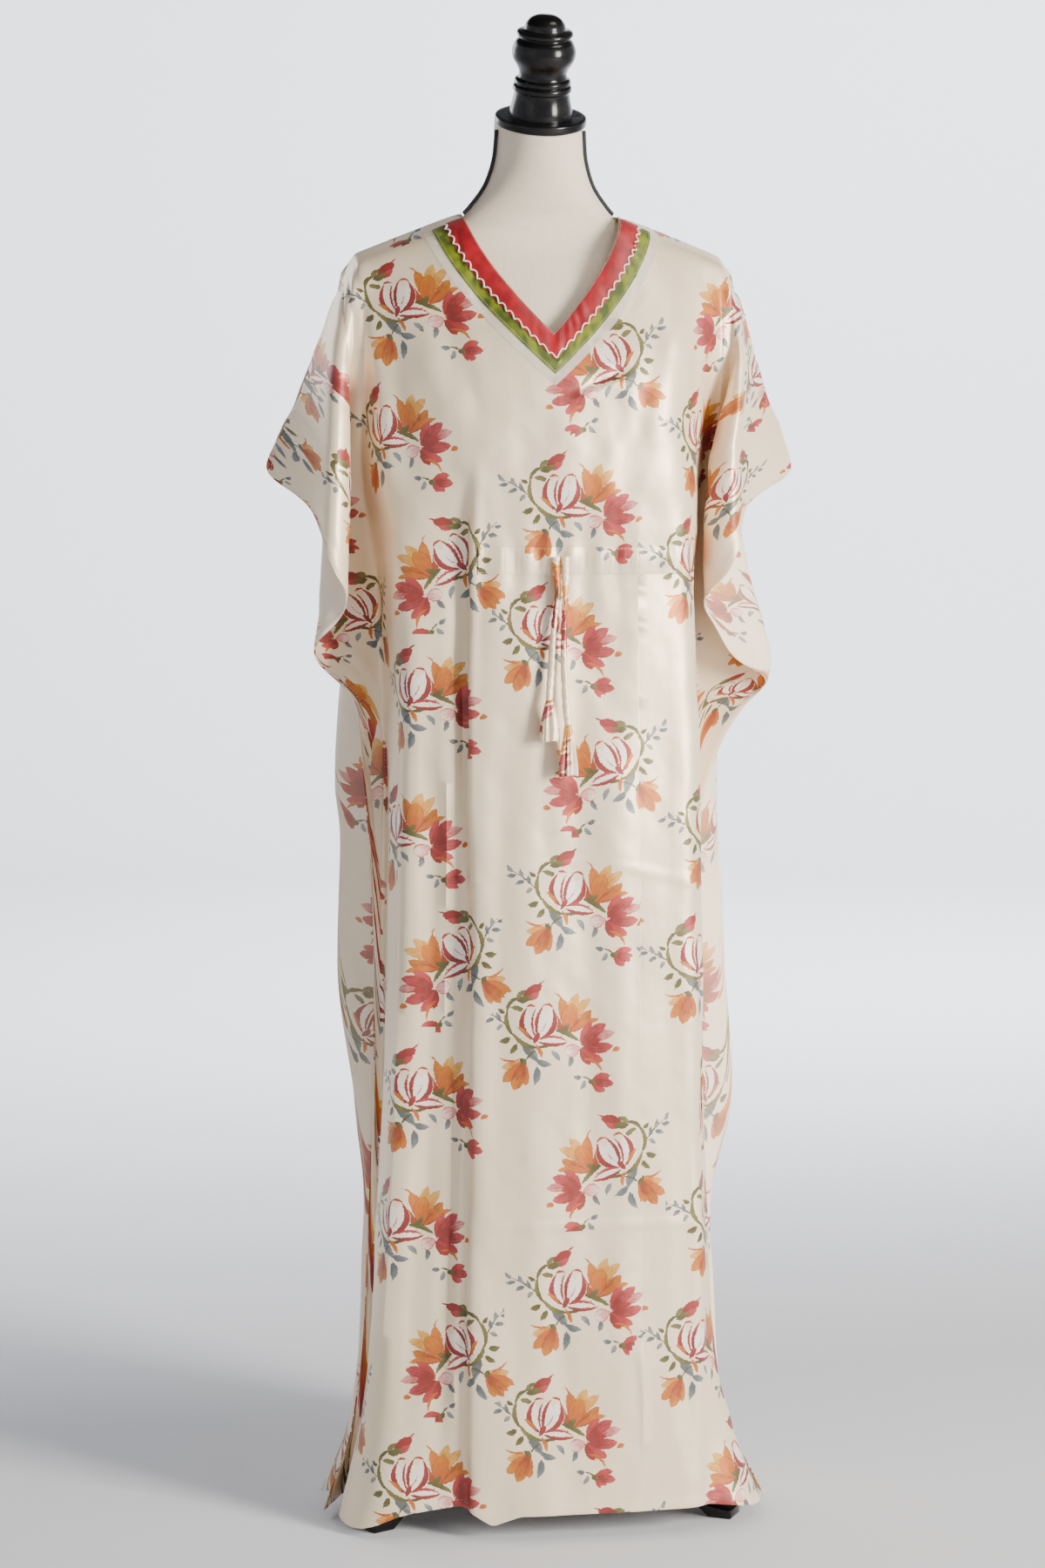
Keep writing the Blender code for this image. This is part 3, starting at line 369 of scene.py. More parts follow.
# A wing's control points from the side seam out to its free edge
def wing(z, side, layer):
    seam = abs(column(BODY, 1 if side < 0 else 10, z))
    open_arm = np.interp(z, [1.055, 1.105, 1.175, 1.235, 1.280], [0, 0.012, 0.044, 0.052, 0.048])
    near = np.interp(z, [1.105, 1.175], [0.008, 0.003])
    edge = edge_x(z, side, layer)
    if layer == "front":
        table = FRONT_LEFT if side < 0 else FRONT_RIGHT
        f1, f2, f3, y1, y2, y3 = (column(table, i, z) for i in range(1, 7))
        y0 = -SEAM - open_arm
        turn = np.interp(z, [0.90, 1.10], [0.5 * (y2 + y3), 0.5 * y3])
        end = -SEAM if z >= 1.104 else 0.35 * y2
        points = [(seam - near, y0), (seam, y0), (seam + near, y0), (f1, y1),
                  (f1, 0.75 * y2 + 0.25 * y1), (f2, y2), (f2, 0.4 * y2 + 0.6 * y3), (f3, y3),
                  (f3 + 0.004, turn), (edge, end)]
    else:
        table = BACK_LEFT if side < 0 else BACK_RIGHT
        f1, f2, y1, y2, ye = (column(table, i, z) for i in range(1, 6))
        y0 = SEAM + open_arm
        end = SEAM if z >= 1.104 else ye
        bulge = np.interp(z, [1.105, 1.280], [0.020, -0.012])
        points = [(seam - near, y0), (seam, y0), (seam + near, y0), (f1, y1),
                  (f1, 0.4 * y1 + 0.6 * y2), (f2, y2), (0.5 * (f2 + edge), y2 + bulge), (edge, end)]
    return [(side * x, y, z) for x, y in points]


def front_body(z):
    cl, cly, px, deep, fy, rx, cr, cry = (column(BODY, i, z) for i in range(2, 10))
    melt = np.interp(z, [1.150, 1.270], [0.0, 1.0])
    back = -0.045 * (1 - melt) + 0.96 * cly * melt
    backr = -0.045 * (1 - melt) + 0.96 * cry * melt
    outward = 0.006 * melt
    edge_y = fy + 0.012 * (1 - deep) + 0.003
    points = [(cl - outward, back), (cl, cly),
              (0.55 * cl + 0.45 * px, 0.45 * cly + 0.55 * fy + 0.006),
              (px + 0.014 * deep - 0.006, fy + 0.006 + 0.018 * deep),
              (px - 0.010 * deep + 0.006, edge_y + 0.001), (px + 0.036, fy),
              (-0.010, fy - 0.001), (0.030, fy - 0.001), (0.080, fy),
              (rx, fy + 0.008), (rx + 0.002, fy + 0.008 + 0.016 * deep),
              (cr, cry), (cr + 0.003 + outward, backr)]
    return [(x, y, z) for x, y in points]


def back_body(z):
    by, deep, swell = (column(BACK_BODY, i, z) for i in range(1, 4))
    xs = np.linspace(-0.165, 0.165, 12)
    shape = np.sqrt(np.clip(1 - (np.abs(xs) / 0.19) ** 3, 0, 1))
    wave = np.array([0.0, 0.4, -1.0, 0.9, -0.7, 0.8, -1.0, 0.6, -0.9, 1.0, -0.4, 0.0])
    return [(x, by * s + deep * w + swell * math.exp(-(x / 0.075) ** 2), z)
            for x, s, w in zip(xs, shape, wave)]


# Control net: the shoulder line first, then one row a station
def control_net(layer):
    inner = front_body if layer == "front" else back_body
    net = []
    for z in STATIONS:
        row = wing(z, -1, layer)[::-1] + inner(z) + wing(z, 1, layer)
        net.append(row)
    net = np.array(net)
    top = net[0].copy()
    sign = -1 if layer == "front" else 1
    arm = 10 if layer == "front" else 8
    for part, side in ((range(arm - 1, -1, -1), -1), (range(len(top) - arm, len(top)), 1)):
        steps = np.linspace(0, 1, arm)
        for j, t in zip(part, steps):
            top[j, 0] = side * (0.192 + (0.2075 - 0.192) * t)
            top[j, 2] = 1.327 - 0.022 * t
    for j in range(arm, len(top) - arm):
        top[j, 0] = np.clip(top[j, 0], -0.188, 0.188)
        top[j, 2] = shoulder_z(top[j, 0])
    top[:, 1] = sign * SEAM
    inside = np.abs(top[:, 0]) < NECK_HALF
    top[inside, 1] = sign * 0.024
    under = top.copy()
    under[:, 2] -= ROUND
    turn = np.interp(np.abs(np.arange(len(top)) - (len(top) - 1) / 2),
                     [len(top) / 2 - arm, len(top) / 2 - 0.5], [0.0, math.pi / 2])
    under[:, 1] = sign * (SEAM + 0.036 * np.cos(turn))
    under[inside, 1] = sign * 0.050
    under[:, 0] = 0.75 * top[:, 0] + 0.25 * net[0, :, 0]
    return np.concatenate([top[None], under[None], net])


NETS = {"front": control_net("front"), "back": control_net("back")}
REACH = {
    "front": [[1.0, 1.0] + [column(t, 7, z) for z in STATIONS] for t in (FRONT_LEFT, FRONT_RIGHT)],
    "back": [[1.0, 1.0] + [column(t, 6, z) for z in STATIONS] for t in (BACK_LEFT, BACK_RIGHT)],
}


# A point of a panel from u, left to right, and v, stations down
def panel(layer, u, v):
    net = NETS[layer]
    count = net.shape[1]
    arm = 10 if layer == "front" else 8
    seam = (arm - 2) / (count - 1)
    u = np.asarray(u, float)
    v = np.asarray(v, float)
    left = down(np.array(REACH[layer][0]), v)
    right = down(np.array(REACH[layer][1]), v)
    u = np.where(u < seam, seam - (seam - u) * left, u)
    u = np.where(u > 1 - seam, 1 - seam + (u - 1 + seam) * right, u)
    points = np.einsum("...j,...jc->...c", across(count, u), down(net, v))
    lift = hem_lift(layer, points[..., 0]) * np.clip(v - (len(net) - 2), 0, 1)
    points[..., 2] += lift
    return points


# The hem rises a little at the front and touches the floor at the left wing's corner
def hem_lift(layer, x):
    if layer == "front":
        return np.interp(x, [-0.24, -0.20, -0.16, -0.10, -0.07, -0.04, 0.16, 0.23],
                         [-0.014, -0.010, 0.006, 0.014, -0.004, 0.006, 0.006, -0.006])
    return np.interp(x, [-0.24, -0.20, -0.1, 0.1, 0.2, 0.24],
                     [-0.014, -0.004, 0.010, 0.008, 0.0, -0.008])


def neck_edge(layer, x, out=0.0):
    x = np.abs(x)
    if layer == "front":
        half = NECK_HALF + 1.12 * out
        bottom = V_Z - 1.40 * out
        share = np.clip(1 - x / half, 0, 1) ** (1 / V_BOW)
        return shoulder_z(half) - (shoulder_z(half) - bottom) * share
    half = NECK_HALF + 1.02 * out
    scoop = BACK_SCOOP * np.clip(1 - (x / half) ** 2, 0, 1)
    return shoulder_z(half) - scoop - 0.8 * out * (x < half)


def unit(v):
    return v / np.maximum(np.linalg.norm(v, axis=-1, keepdims=True), 1e-12)


# Mean direction of the two steps that meet at each point of a grid
def direction(points, axis):
    steps = unit(np.diff(points, axis=axis))
    first = np.take(steps, [0], axis=axis)
    last = np.take(steps, [-1], axis=axis)
    return np.concatenate([first, steps], axis=axis) + np.concatenate([steps, last], axis=axis)


# Normals of a grid, evened a little so that a sharp fold's wall keeps clear of itself
def normals(points):
    n = np.cross(direction(points, 0), direction(points, 1))
    for _ in range(2):
        n = unit(n)
        near = np.pad(n, ((1, 1), (1, 1), (0, 0)), mode="edge")
        n = 0.5 * n + 0.125 * (near[:-2, 1:-1] + near[2:, 1:-1] + near[1:-1, :-2] + near[1:-1, 2:])
    return unit(n)


# Normals on the outside of the cloth, and the length run along a line of points
def facing(layer, points):
    return normals(points) * (-1 if layer == "back" else 1)


def run_along(line):
    return np.concatenate([[0], np.cumsum(np.linalg.norm(np.diff(line, axis=0), axis=-1))])


# %% [markdown]
# ## The dress form's skin
# The form is one smooth loft: at each height a rounded section, wider or deeper, and the
# neck's top cut on a slant. It is made finer than the CAD solid, because its neck and
# chest show. The cloth is kept clear of this same skin with a search tree of its faces.

# %% Form skin
FORM_SIDES, FORM_RINGS = 128, 150


def form_skin():
    heights = np.linspace(0, len(TORSO) - 1, FORM_RINGS)
    angle = round_turn(FORM_SIDES)
    c, s = np.cos(angle), np.sin(angle)
    rings = []
    for z, half, front, back in down(np.array(TORSO), heights):
        power = float(np.interp(z, [1.20, 1.30], [2.3, 2.0]))
        x = half * np.sign(c) * np.abs(c) ** (2 / power)
        y = np.where(s < 0, -front, back) * np.sign(s) * np.abs(s) ** (2 / power)
        tilt = np.clip((z - 1.402) / 0.059, 0, 1) * math.tan(CAP_TILT) * (y + 0.020)
        rings.append(np.stack([x, y, z + tilt], axis=1))
    return np.array(rings)


SKIN = form_skin()


def ring_faces(rings, sides):
    r, i = np.meshgrid(np.arange(rings - 1), np.arange(sides), indexing="ij")
    j = (i + 1) % sides
    return np.stack([r * sides + i, r * sides + j, (r + 1) * sides + j, (r + 1) * sides + i],
                    axis=-1).reshape(-1, 4).tolist()


FORM = BVHTree.FromPolygons([Vector(p) for p in SKIN.reshape(-1, 3)],
                            ring_faces(FORM_RINGS, FORM_SIDES))
print("form skin:", len(SKIN), "rings of", FORM_SIDES)

# %% [markdown]
# ## The flat cut and the creases
# Cloth has a flat cut, so each grid point also gets its place on that cut: metres across
# from the centre line and metres down from the shoulder. The print, the weave and the
# creases are all laid out on it, and run over the folds as on real cloth.
# A crease is a soft trough or ridge in the surface. Each one is placed one by one, in its own
# size, because evenly spread waves look like a machine's.

# %% Fine grid of a panel
CELL = 0.0056
SHELL = 0.0010


def fine_columns(layer, each_wing, each_half):
    steps = np.linspace(0, 1, each_half + 1)[1:]
    half = NECK_HALF * np.sin(steps * math.pi / 2)
    xs = np.concatenate([-half[::-1], [0.0], half])
    middle = [solve_u(layer, x, 0.0 if abs(x) > NECK_HALF - 1e-9 else 1.6) for x in xs]
    share = np.linspace(0, 1, each_wing + 1)
    share = share + 0.10 * np.sin(math.pi * share) * share
    left = middle[0] * (1 - share[:0:-1])
    right = middle[-1] + (1 - middle[-1]) * share[1:]
    return np.concatenate([left, middle, right])


def solve_u(layer, x, v):
    line = np.linspace(0.2, 0.8, 2401)
    found = panel(layer, line, np.full_like(line, v))[:, 0]
    return float(line[np.argmin(np.abs(found - x))])


def start_v(layer, u):
    v = np.linspace(0, 6, 2401)
    p = panel(layer, np.full_like(v, u), v)
    inside = (np.abs(p[:, 0]) < NECK_HALF - 1e-6) & (p[:, 2] > neck_edge(layer, p[:, 0]))
    if not inside[0]:
        return 0.0
    return float(v[np.argmin(inside)])


def fine_grid(layer, u):
    drops = [0.045, 0.035] + [-d for d in np.diff(STATIONS)]
    counts = [max(2, math.ceil(d / CELL)) for d in drops]
    level = [k + i / n for k, n in enumerate(counts) for i in range(n)]
    level = np.array(level + [len(counts)])
    begin = np.array([start_v(layer, a) for a in u])
    v = level[:, None] + begin[None] * np.clip(1 - level[:, None] / 7, 0, 1)
    x = panel(layer, u, np.full_like(u, 1.6))[:, 0]
    fan = solve_u(layer, NECK_HALF + 0.010, 1.0) - solve_u(layer, NECK_HALF, 1.0)
    near = np.sign(x) * np.exp(-((np.abs(x) - NECK_HALF) / 0.014) ** 2)
    fade = np.minimum(level, 1) * np.clip(1 - (level - 1) / 6, 0, 1)
    points = panel(layer, u[None] + fan * near[None] * fade[:, None], v)
    sign = -1 if layer == "front" else 1
    points[0, begin == 0, 1] = sign * SEAM
    return points


# Folds ease out towards the chest, where the cloth lies flat on the form
EASING_TURNS = 60


def ease_chest(points):
    z, x = points[..., 2], points[..., 0]
    rows = np.arange(len(points))[:, None]
    share = np.clip((z - 1.04) / 0.12, 0, 1) * np.clip((0.172 - np.abs(x)) / 0.02, 0, 1)
    share = (share * np.clip((rows - 9) / 8, 0, 1))[:, 1:-1, None]
    for _ in range(EASING_TURNS):
        mean = 0.5 * (points[:, :-2] + points[:, 2:])
        points[:, 1:-1] += 0.5 * share * (mean - points[:, 1:-1])
    return points


# Near the neck corners the grid's rows and columns kink, so there the cut is read from
# width and height alone; lengths down the cut are counted from a level row below them
LEVEL_Z = 1.175


def flat_place(points):
    step = np.diff(points, axis=1)
    centre = 0.5 * (points[:, 1:] + points[:, :-1])
    high = np.clip((centre[..., 2] - 1.13) / 0.09, 0, 1)
    depth = 1 - high * np.clip((0.155 - np.abs(centre[..., 0])) / 0.045, 0, 1)
    across_step = np.hypot(step[..., 0], depth * step[..., 1])
    run = np.concatenate([np.zeros((len(points), 1)), np.cumsum(across_step, axis=1)], axis=1)
    middle = points.shape[1] // 2
    across_cut = run - run[:, middle:middle + 1]
    down_step = np.linalg.norm(np.diff(points, axis=0), axis=-1)
    fall = np.concatenate([np.zeros((1, points.shape[1])), np.cumsum(down_step, axis=0)])
    level = int(np.argmin(np.abs(points[:, middle, 2] - LEVEL_Z)))
    down_cut = fall - fall[level:level + 1] + NECK_Z - points[level:level + 1, :, 2] + 0.03
    plain = NECK_Z - points[..., 2] + 0.03
    share = np.clip((0.175 - np.abs(points[..., 0])) / 0.05, 0, 1) * (points[..., 2] > LEVEL_Z)
    return across_cut, down_cut + share * (plain - down_cut)


WING_COLUMNS, HALF_COLUMNS = 62, 26
COLUMN_U = {layer: fine_columns(layer, WING_COLUMNS, HALF_COLUMNS) for layer in ("front", "back")}
PANEL = {layer: fine_grid(layer, COLUMN_U[layer]) for layer in ("front", "back")}
PANEL["front"] = ease_chest(PANEL["front"])
FLAT = {layer: flat_place(points) for layer, points in PANEL.items()}
for layer in PANEL:
    width, length = float(np.ptp(FLAT[layer][0])), float(FLAT[layer][1].max())
    print(layer, "grid", PANEL[layer].shape[:2], "flat", round(width, 3), "by", round(length, 3))

# %% Creases
# Across and height of both ends, width, depth (minus is a trough), in millimetres
FRONT_CREASES = thousandths(
    (10, 1178, 78, 1206, 5.5, -3), (12, 1172, 80, 1197, 5, 2.2), (-150, 1300, -98, 1130, 16, 3),
    (-118, 1290, -70, 1140, 12, -2.2), (-175, 1270, -150, 1080, 12, -3),
    (140, 1300, 105, 1120, 15, 2.6), (112, 1270, 86, 1130, 11, -2),
    (168, 1270, 152, 1070, 12, -2.6),
    (-60, 1130, -50, 1030, 10, -1.2), (60, 1140, 50, 1030, 12, 1.4), (-150, 672, 30, 706, 2.6, 1.4),
    (30, 706, 190, 668, 2.6, 1.3), (-190, 630, -90, 660, 3.2, -1.4), (-90, 329, 180, 323, 2.6, 1.4),
    (-130, 322, -90, 329, 3, 1.2), (-78, 1120, -96, 640, 6, 3.4), (-94, 1100, -112, 640, 7, -4.6),
    (-94, 680, -118, 40, 6, 3.4), (-110, 680, -134, 40, 7.5, -4.8), (-152, 960, -168, 560, 11, 5),
    (-132, 800, -140, 330, 9, -4.4), (-168, 600, -190, 120, 12, 5.2),
    (-146, 420, -168, 50, 10, -4.6), (-186, 900, -196, 420, 10, -4.4),
    (158, 940, 168, 480, 11, 4.4),
    (182, 800, 190, 220, 10, -4), (132, 460, 140, 60, 9, -2.8), (-80, 270, 100, 276, 3.2, -0.6),
    (85, 205, 100, 30, 5, 2.2), (98, 180, 112, 30, 6, -1.6), (20, 960, 34, 300, 16, -2.2),
    (62, 900, 70, 60, 18, 2.4), (-32, 900, -20, 120, 16, 2), (-58, 800, -60, 300, 12, -1.6),
    (112, 980, 120, 400, 14, -2.2), (-118, 980, -125, 600, 12, 3), (-136, 900, -150, 250, 14, -3.6),
    (-108, 560, -112, 60, 14, 2.4), (145, 700, 160, 100, 12, 2), (0, 300, 10, 30, 14, -1.8))
BACK_CREASES = thousandths(
    (-160, 1300, -90, 1080, 18, 3.4), (-120, 1310, -60, 1130, 14, -2.6),
    (155, 1300, 100, 1090, 17, 3.2), (118, 1310, 66, 1150, 13, -2.4), (10, 1330, 0, 1100, 16, -1.6),
    (-50, 1000, -40, 300, 18, 3), (45, 1020, 60, 240, 18, -3), (-120, 900, -110, 200, 16, -3),
    (115, 950, 120, 300, 16, 3.2), (0, 800, 8, 400, 14, 2), (-160, 690, 170, 684, 3.6, 1),
    (-170, 330, 180, 334, 3.6, -1))


def crease_height(layer, across_cut, z):
    total = np.zeros_like(z)
    for u0, z0, u1, z1, width, depth in (FRONT_CREASES if layer == "front" else BACK_CREASES):
        du, dz = u1 - u0, z1 - z0
        long = math.hypot(du, dz)
        along = ((across_cut - u0) * du + (z - z0) * dz) / long
        off = ((across_cut - u0) * dz - (z - z0) * du) / long
        ends = np.clip(along / (0.25 * long), 0, 1) * np.clip((long - along) / (0.25 * long), 0, 1)
        total += depth * np.exp(-(off / width) ** 2) * ends * (2 - ends)
    return total


# Gathers that the drawstring pulls in above and below its casing, deepest near the knot
GATHERS = (
    (-0.092, 0.8), (-0.071, -0.6), (-0.055, 1.0), (-0.041, -0.9), (-0.028, 1.1), (-0.017, -1.2),
    (-0.006, 1.3), (0.006, -1.3), (0.017, 1.2), (0.031, -1.0), (0.046, 0.9), (0.064, -0.8),
    (0.085, 0.7), (0.108, -0.6), (0.128, 0.6))


def gather_height(across_cut, z):
    total = np.zeros_like(z)
    middle = 0.5 * (CASING_TOP + CASING_LOW)
    reach = np.where(z > middle, 0.030, 0.052)
    fade = np.exp(-((z - middle) / reach) ** 2)
    for place, share in GATHERS:
        lean_away = place * (1 + 1.2 * np.abs(z - middle))
        total += 0.0011 * share * np.exp(-((across_cut - lean_away) / 0.0062) ** 2)
    return total * fade


# A slow unevenness, so that no stretch of cloth is quite flat
UNEVENNESS = 0.0040


def soft_unevenness(a, b, seed):
    rng = np.random.default_rng(seed)
    total = np.zeros_like(a)
    for size in (0.19, 0.13, 0.085, 0.055, 0.038, 0.026):
        for _ in range(3):
            angle = rng.uniform(-0.5, 0.5)
            phase = rng.uniform(0, 2 * math.pi, 2)
            wave = (np.cos(angle) * a + np.sin(angle) * b) / size
            slow = (np.cos(angle) * b - np.sin(angle) * a) / (2.8 * size)
            total += (size * np.sin(2 * math.pi * wave + phase[0])
                      * np.sin(2 * math.pi * slow + phase[1]))
    return total


def relief(layer):
    points = PANEL[layer]
    across_cut, down_cut = FLAT[layer]
    z = points[..., 2]
    made = crease_height(layer, across_cut, z)
    if layer == "front":
        made += gather_height(across_cut, z)
    made += UNEVENNESS * soft_unevenness(across_cut, down_cut, 4 if layer == "front" else 9)
    calm = np.clip((NECK_Z - z) / 0.05, 0, 1)
    rows = np.arange(len(points))[:, None]
    calm = calm * np.clip(rows / 10, 0, 1)
    band = neck_edge(layer, points[..., 0], 0.040) - z
    calm = calm * np.clip(band / 0.03, 0, 1)
    return made * calm


CLEAR = 0.0012


def off_the_form(points, clear):
    moved = points.copy()
    for index in np.ndindex(points.shape[:-1]):
        place = Vector(points[index])
        skin, normal = FORM.find_nearest(place, 0.03)[:2]
        if skin is not None:
            height = (place - skin).dot(normal)
            if height < clear:
                moved[index] = np.array(place + normal * (clear - height))
    return moved


RELIEF = {layer: relief(layer) for layer in PANEL}
for layer in RELIEF:
    print(layer, "relief from", round(float(RELIEF[layer].min()) * 1000, 1),
          "to", round(float(RELIEF[layer].max()) * 1000, 1), "mm")
    creased = PANEL[layer] + facing(layer, PANEL[layer]) * RELIEF[layer][..., None]
    PANEL[layer] = off_the_form(creased, CLEAR)

# %% [markdown]
# ## Building a piece
# A sheet of cloth is given a real thickness: every grid point makes one corner on the
# outer face and one on the inner face, and a narrow rim closes the edge. Faces of the
# two sides get different finishes, because satin is glossy outside and matte inside.

# %% Piece helpers
def make_piece(name, vertices, faces, finishes, face_finish=None, sharp=40.0):
    mesh = bpy.data.meshes.new(name)
    corners = np.asarray(vertices, float) + np.array(SHIFT)
    mesh.from_pydata(corners.tolist(), [], [list(map(int, f)) for f in faces])
    for finish in finishes:
        mesh.materials.append(finish)
    if face_finish is not None:
        mesh.polygons.foreach_set("material_index", np.asarray(face_finish, np.int32))
    mesh.update()
    mesh.shade_smooth()
    if sharp:
        mesh.set_sharp_from_angle(angle=math.radians(sharp))
    return placed(name, mesh)


# Outer and inner faces of a grid, and the rim; flip turns the outside to the other side
def shell(points, outward, inward, flip):
    n = normals(points) * (-1 if flip else 1)
    rows, cols = points.shape[:2]
    outer = (points + n * outward).reshape(-1, 3)
    inner = (points - n * inward).reshape(-1, 3)
    half = rows * cols
    index = np.arange(half).reshape(rows, cols)
    a, b = index[:-1, :-1].ravel(), index[:-1, 1:].ravel()
    d, e = index[1:, :-1].ravel(), index[1:, 1:].ravel()
    front_side = np.stack([a, d, e, b], axis=1)
    back_side = np.stack([a, b, e, d], axis=1) + half
    rim = np.concatenate([index[0], index[1:, -1], index[-1, -2::-1], index[-2:0:-1, 0]])
    following = np.roll(rim, -1)
    edge = np.stack([rim, following, following + half, rim + half], axis=1)
    faces = np.concatenate([front_side, back_side, edge])
    if flip:
        faces = faces[:, ::-1]
    side = np.concatenate([np.zeros(len(front_side)), np.ones(len(back_side)),
                           np.zeros(len(edge))]).astype(int)
    return np.concatenate([outer, inner]), faces, side


def store_uv(piece, name, corner_uv):
    layer = piece.data.uv_layers.new(name=name)
    layer.data.foreach_set("uv", np.asarray(corner_uv, np.float32).ravel())


# Every piece is fixed to the one body. It may stand for a solid, whose CAD part is then hidden
def belongs(piece, node=None):
    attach(piece, "root")
    if node:
        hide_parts(node)


# %% [markdown]
# ## The print: where each sprig sits
# The print repeats a sprig of magnolia bloom about 15 cm wide in columns, each column half
# a step lower than its neighbour, and every third sprig is mirrored. Drawing all of them
# over the whole cloth would make the material slow. So each face is told which sprig it
# lies under: its corners carry their place inside that one sprig in a UV map, and faces
# between the sprigs get plain satin.

# %% Sprig placement
COLUMN_STEP = 0.166
SPRIG_STEP = 0.136
SPRIG_HALF = (0.082, 0.064)
SPRIG_CENTRE = (-0.004, -0.001)
CELLS = (4, 3)
SIDE_STEPS = (0.0, 0.056, 0.024)
PRINTED_CLOTH = (0.62, 1.42)


def sprig_places(offset):
    width, length = PRINTED_CLOTH
    rng = np.random.default_rng(31)
    places = []
    columns = math.ceil(width / COLUMN_STEP) + 1
    for i in range(-columns, columns + 1):
        for j in range(-1, math.ceil(length / SPRIG_STEP) + 2):
            third = (j + i) % 3
            turned = third == 1
            half_step = 0.5 * SPRIG_STEP if i % 2 else 0.0
            x = i * COLUMN_STEP + offset[0] + rng.uniform(-0.004, 0.004) + SIDE_STEPS[third]
            y = j * SPRIG_STEP + half_step + offset[1] + rng.uniform(-0.003, 0.003)
            lean = (14.0 if turned else 0.0) + rng.uniform(-4, 4) + (6.0 if i % 2 else 0.0)
            places.append((x, y, math.radians(lean), -1.0 if turned else 1.0))
    return np.array(places)


# Place inside the nearest sprig of each face corner, and the face's cell of it (0: none)
def lay_print(corner_cut, centre_cut, places):
    near = np.argmin(((centre_cut[:, None, :] - places[None, :, :2]) ** 2
                      * np.array([1.0, 1.35])).sum(-1), axis=1)
    chosen = places[near]

    def inside(cut, x0, y0, turn, mirror):
        dx, dy, c, s = cut[..., 0] - x0, y0 - cut[..., 1], np.cos(turn), np.sin(turn)
        return np.stack([(dx * c + dy * s) * mirror, dy * c - dx * s], axis=-1)

    middle = inside(centre_cut, *chosen.T)
    corners = inside(corner_cut, *chosen.T[..., None])
    share = (middle - SPRIG_CENTRE) / (2 * np.array(SPRIG_HALF)) + 0.5
    under = ((share > 0) & (share < 1)).all(axis=1)
    cell = np.floor(np.clip(share, 0, 0.999) * CELLS).astype(int)
    return corners, np.where(under, 1 + cell[:, 0] + CELLS[0] * cell[:, 1], 0)


# %% [markdown]
# ## The print: one sprig drawn in strokes
# The sprig is drawn like a watercolour, in brush strokes: a stroke starts at one point and
# ends at another, has a width, a bend, and a colour that changes along it, and petals get a
# darker line round them. A node group holds one kind of stroke. Its first sums turn the
# cloth's coordinates into the stroke's own, so that its length runs from 0 to 1, and a
# curve gives its half width there. They are plain sums of single numbers, because a long
# chain of vector nodes would fill the renderer's short memory.

# %% Brush stroke node groups
OUTLINES = {
    "petal": ((0.0, 0.0), (0.03, 0.16), (0.18, 0.56), (0.42, 0.94), (0.62, 1.0),
              (0.80, 0.82), (0.93, 0.42), (1.0, 0.0)),
    "leaf": ((0.0, 0.0), (0.12, 0.42), (0.35, 0.95), (0.55, 0.92), (0.78, 0.50),
             (0.92, 0.16), (1.0, 0.0)),
    "stem": ((0.0, 0.0), (0.03, 0.50), (0.20, 0.85), (0.50, 1.0), (0.80, 0.80),
             (0.97, 0.45), (1.0, 0.0)),
}


def new_group(name, kind, inputs, output):
    group = bpy.data.node_groups.new(name, kind)
    for label, value in inputs.items():
        number = isinstance(value, float)
        made = group.interface.new_socket(
            name=label, in_out="INPUT", socket_type="NodeSocketFloat" if number else value)
        if number:
            made.default_value = value
    group.interface.new_socket(name=output[0], in_out="OUTPUT", socket_type=output[1])
    return group, group.nodes.new("NodeGroupInput"), group.nodes.new("NodeGroupOutput")


def sum_of(tree, operation, a, b=None, c=None):
    inputs = {i: v for i, v in enumerate((a, b, c)) if v is not None}
    return put(tree, "ShaderNodeMath", inputs, operation=operation).outputs[0]


def times(tree, a, b):
    return sum_of(tree, "MULTIPLY", a, b)


def plus(tree, a, b):
    return sum_of(tree, "ADD", a, b)


def blend_colour(tree, factor, a, b):
    return put(tree, "ShaderNodeMix", {0: factor, 6: a, 7: b}, data_type="RGBA").outputs[2]


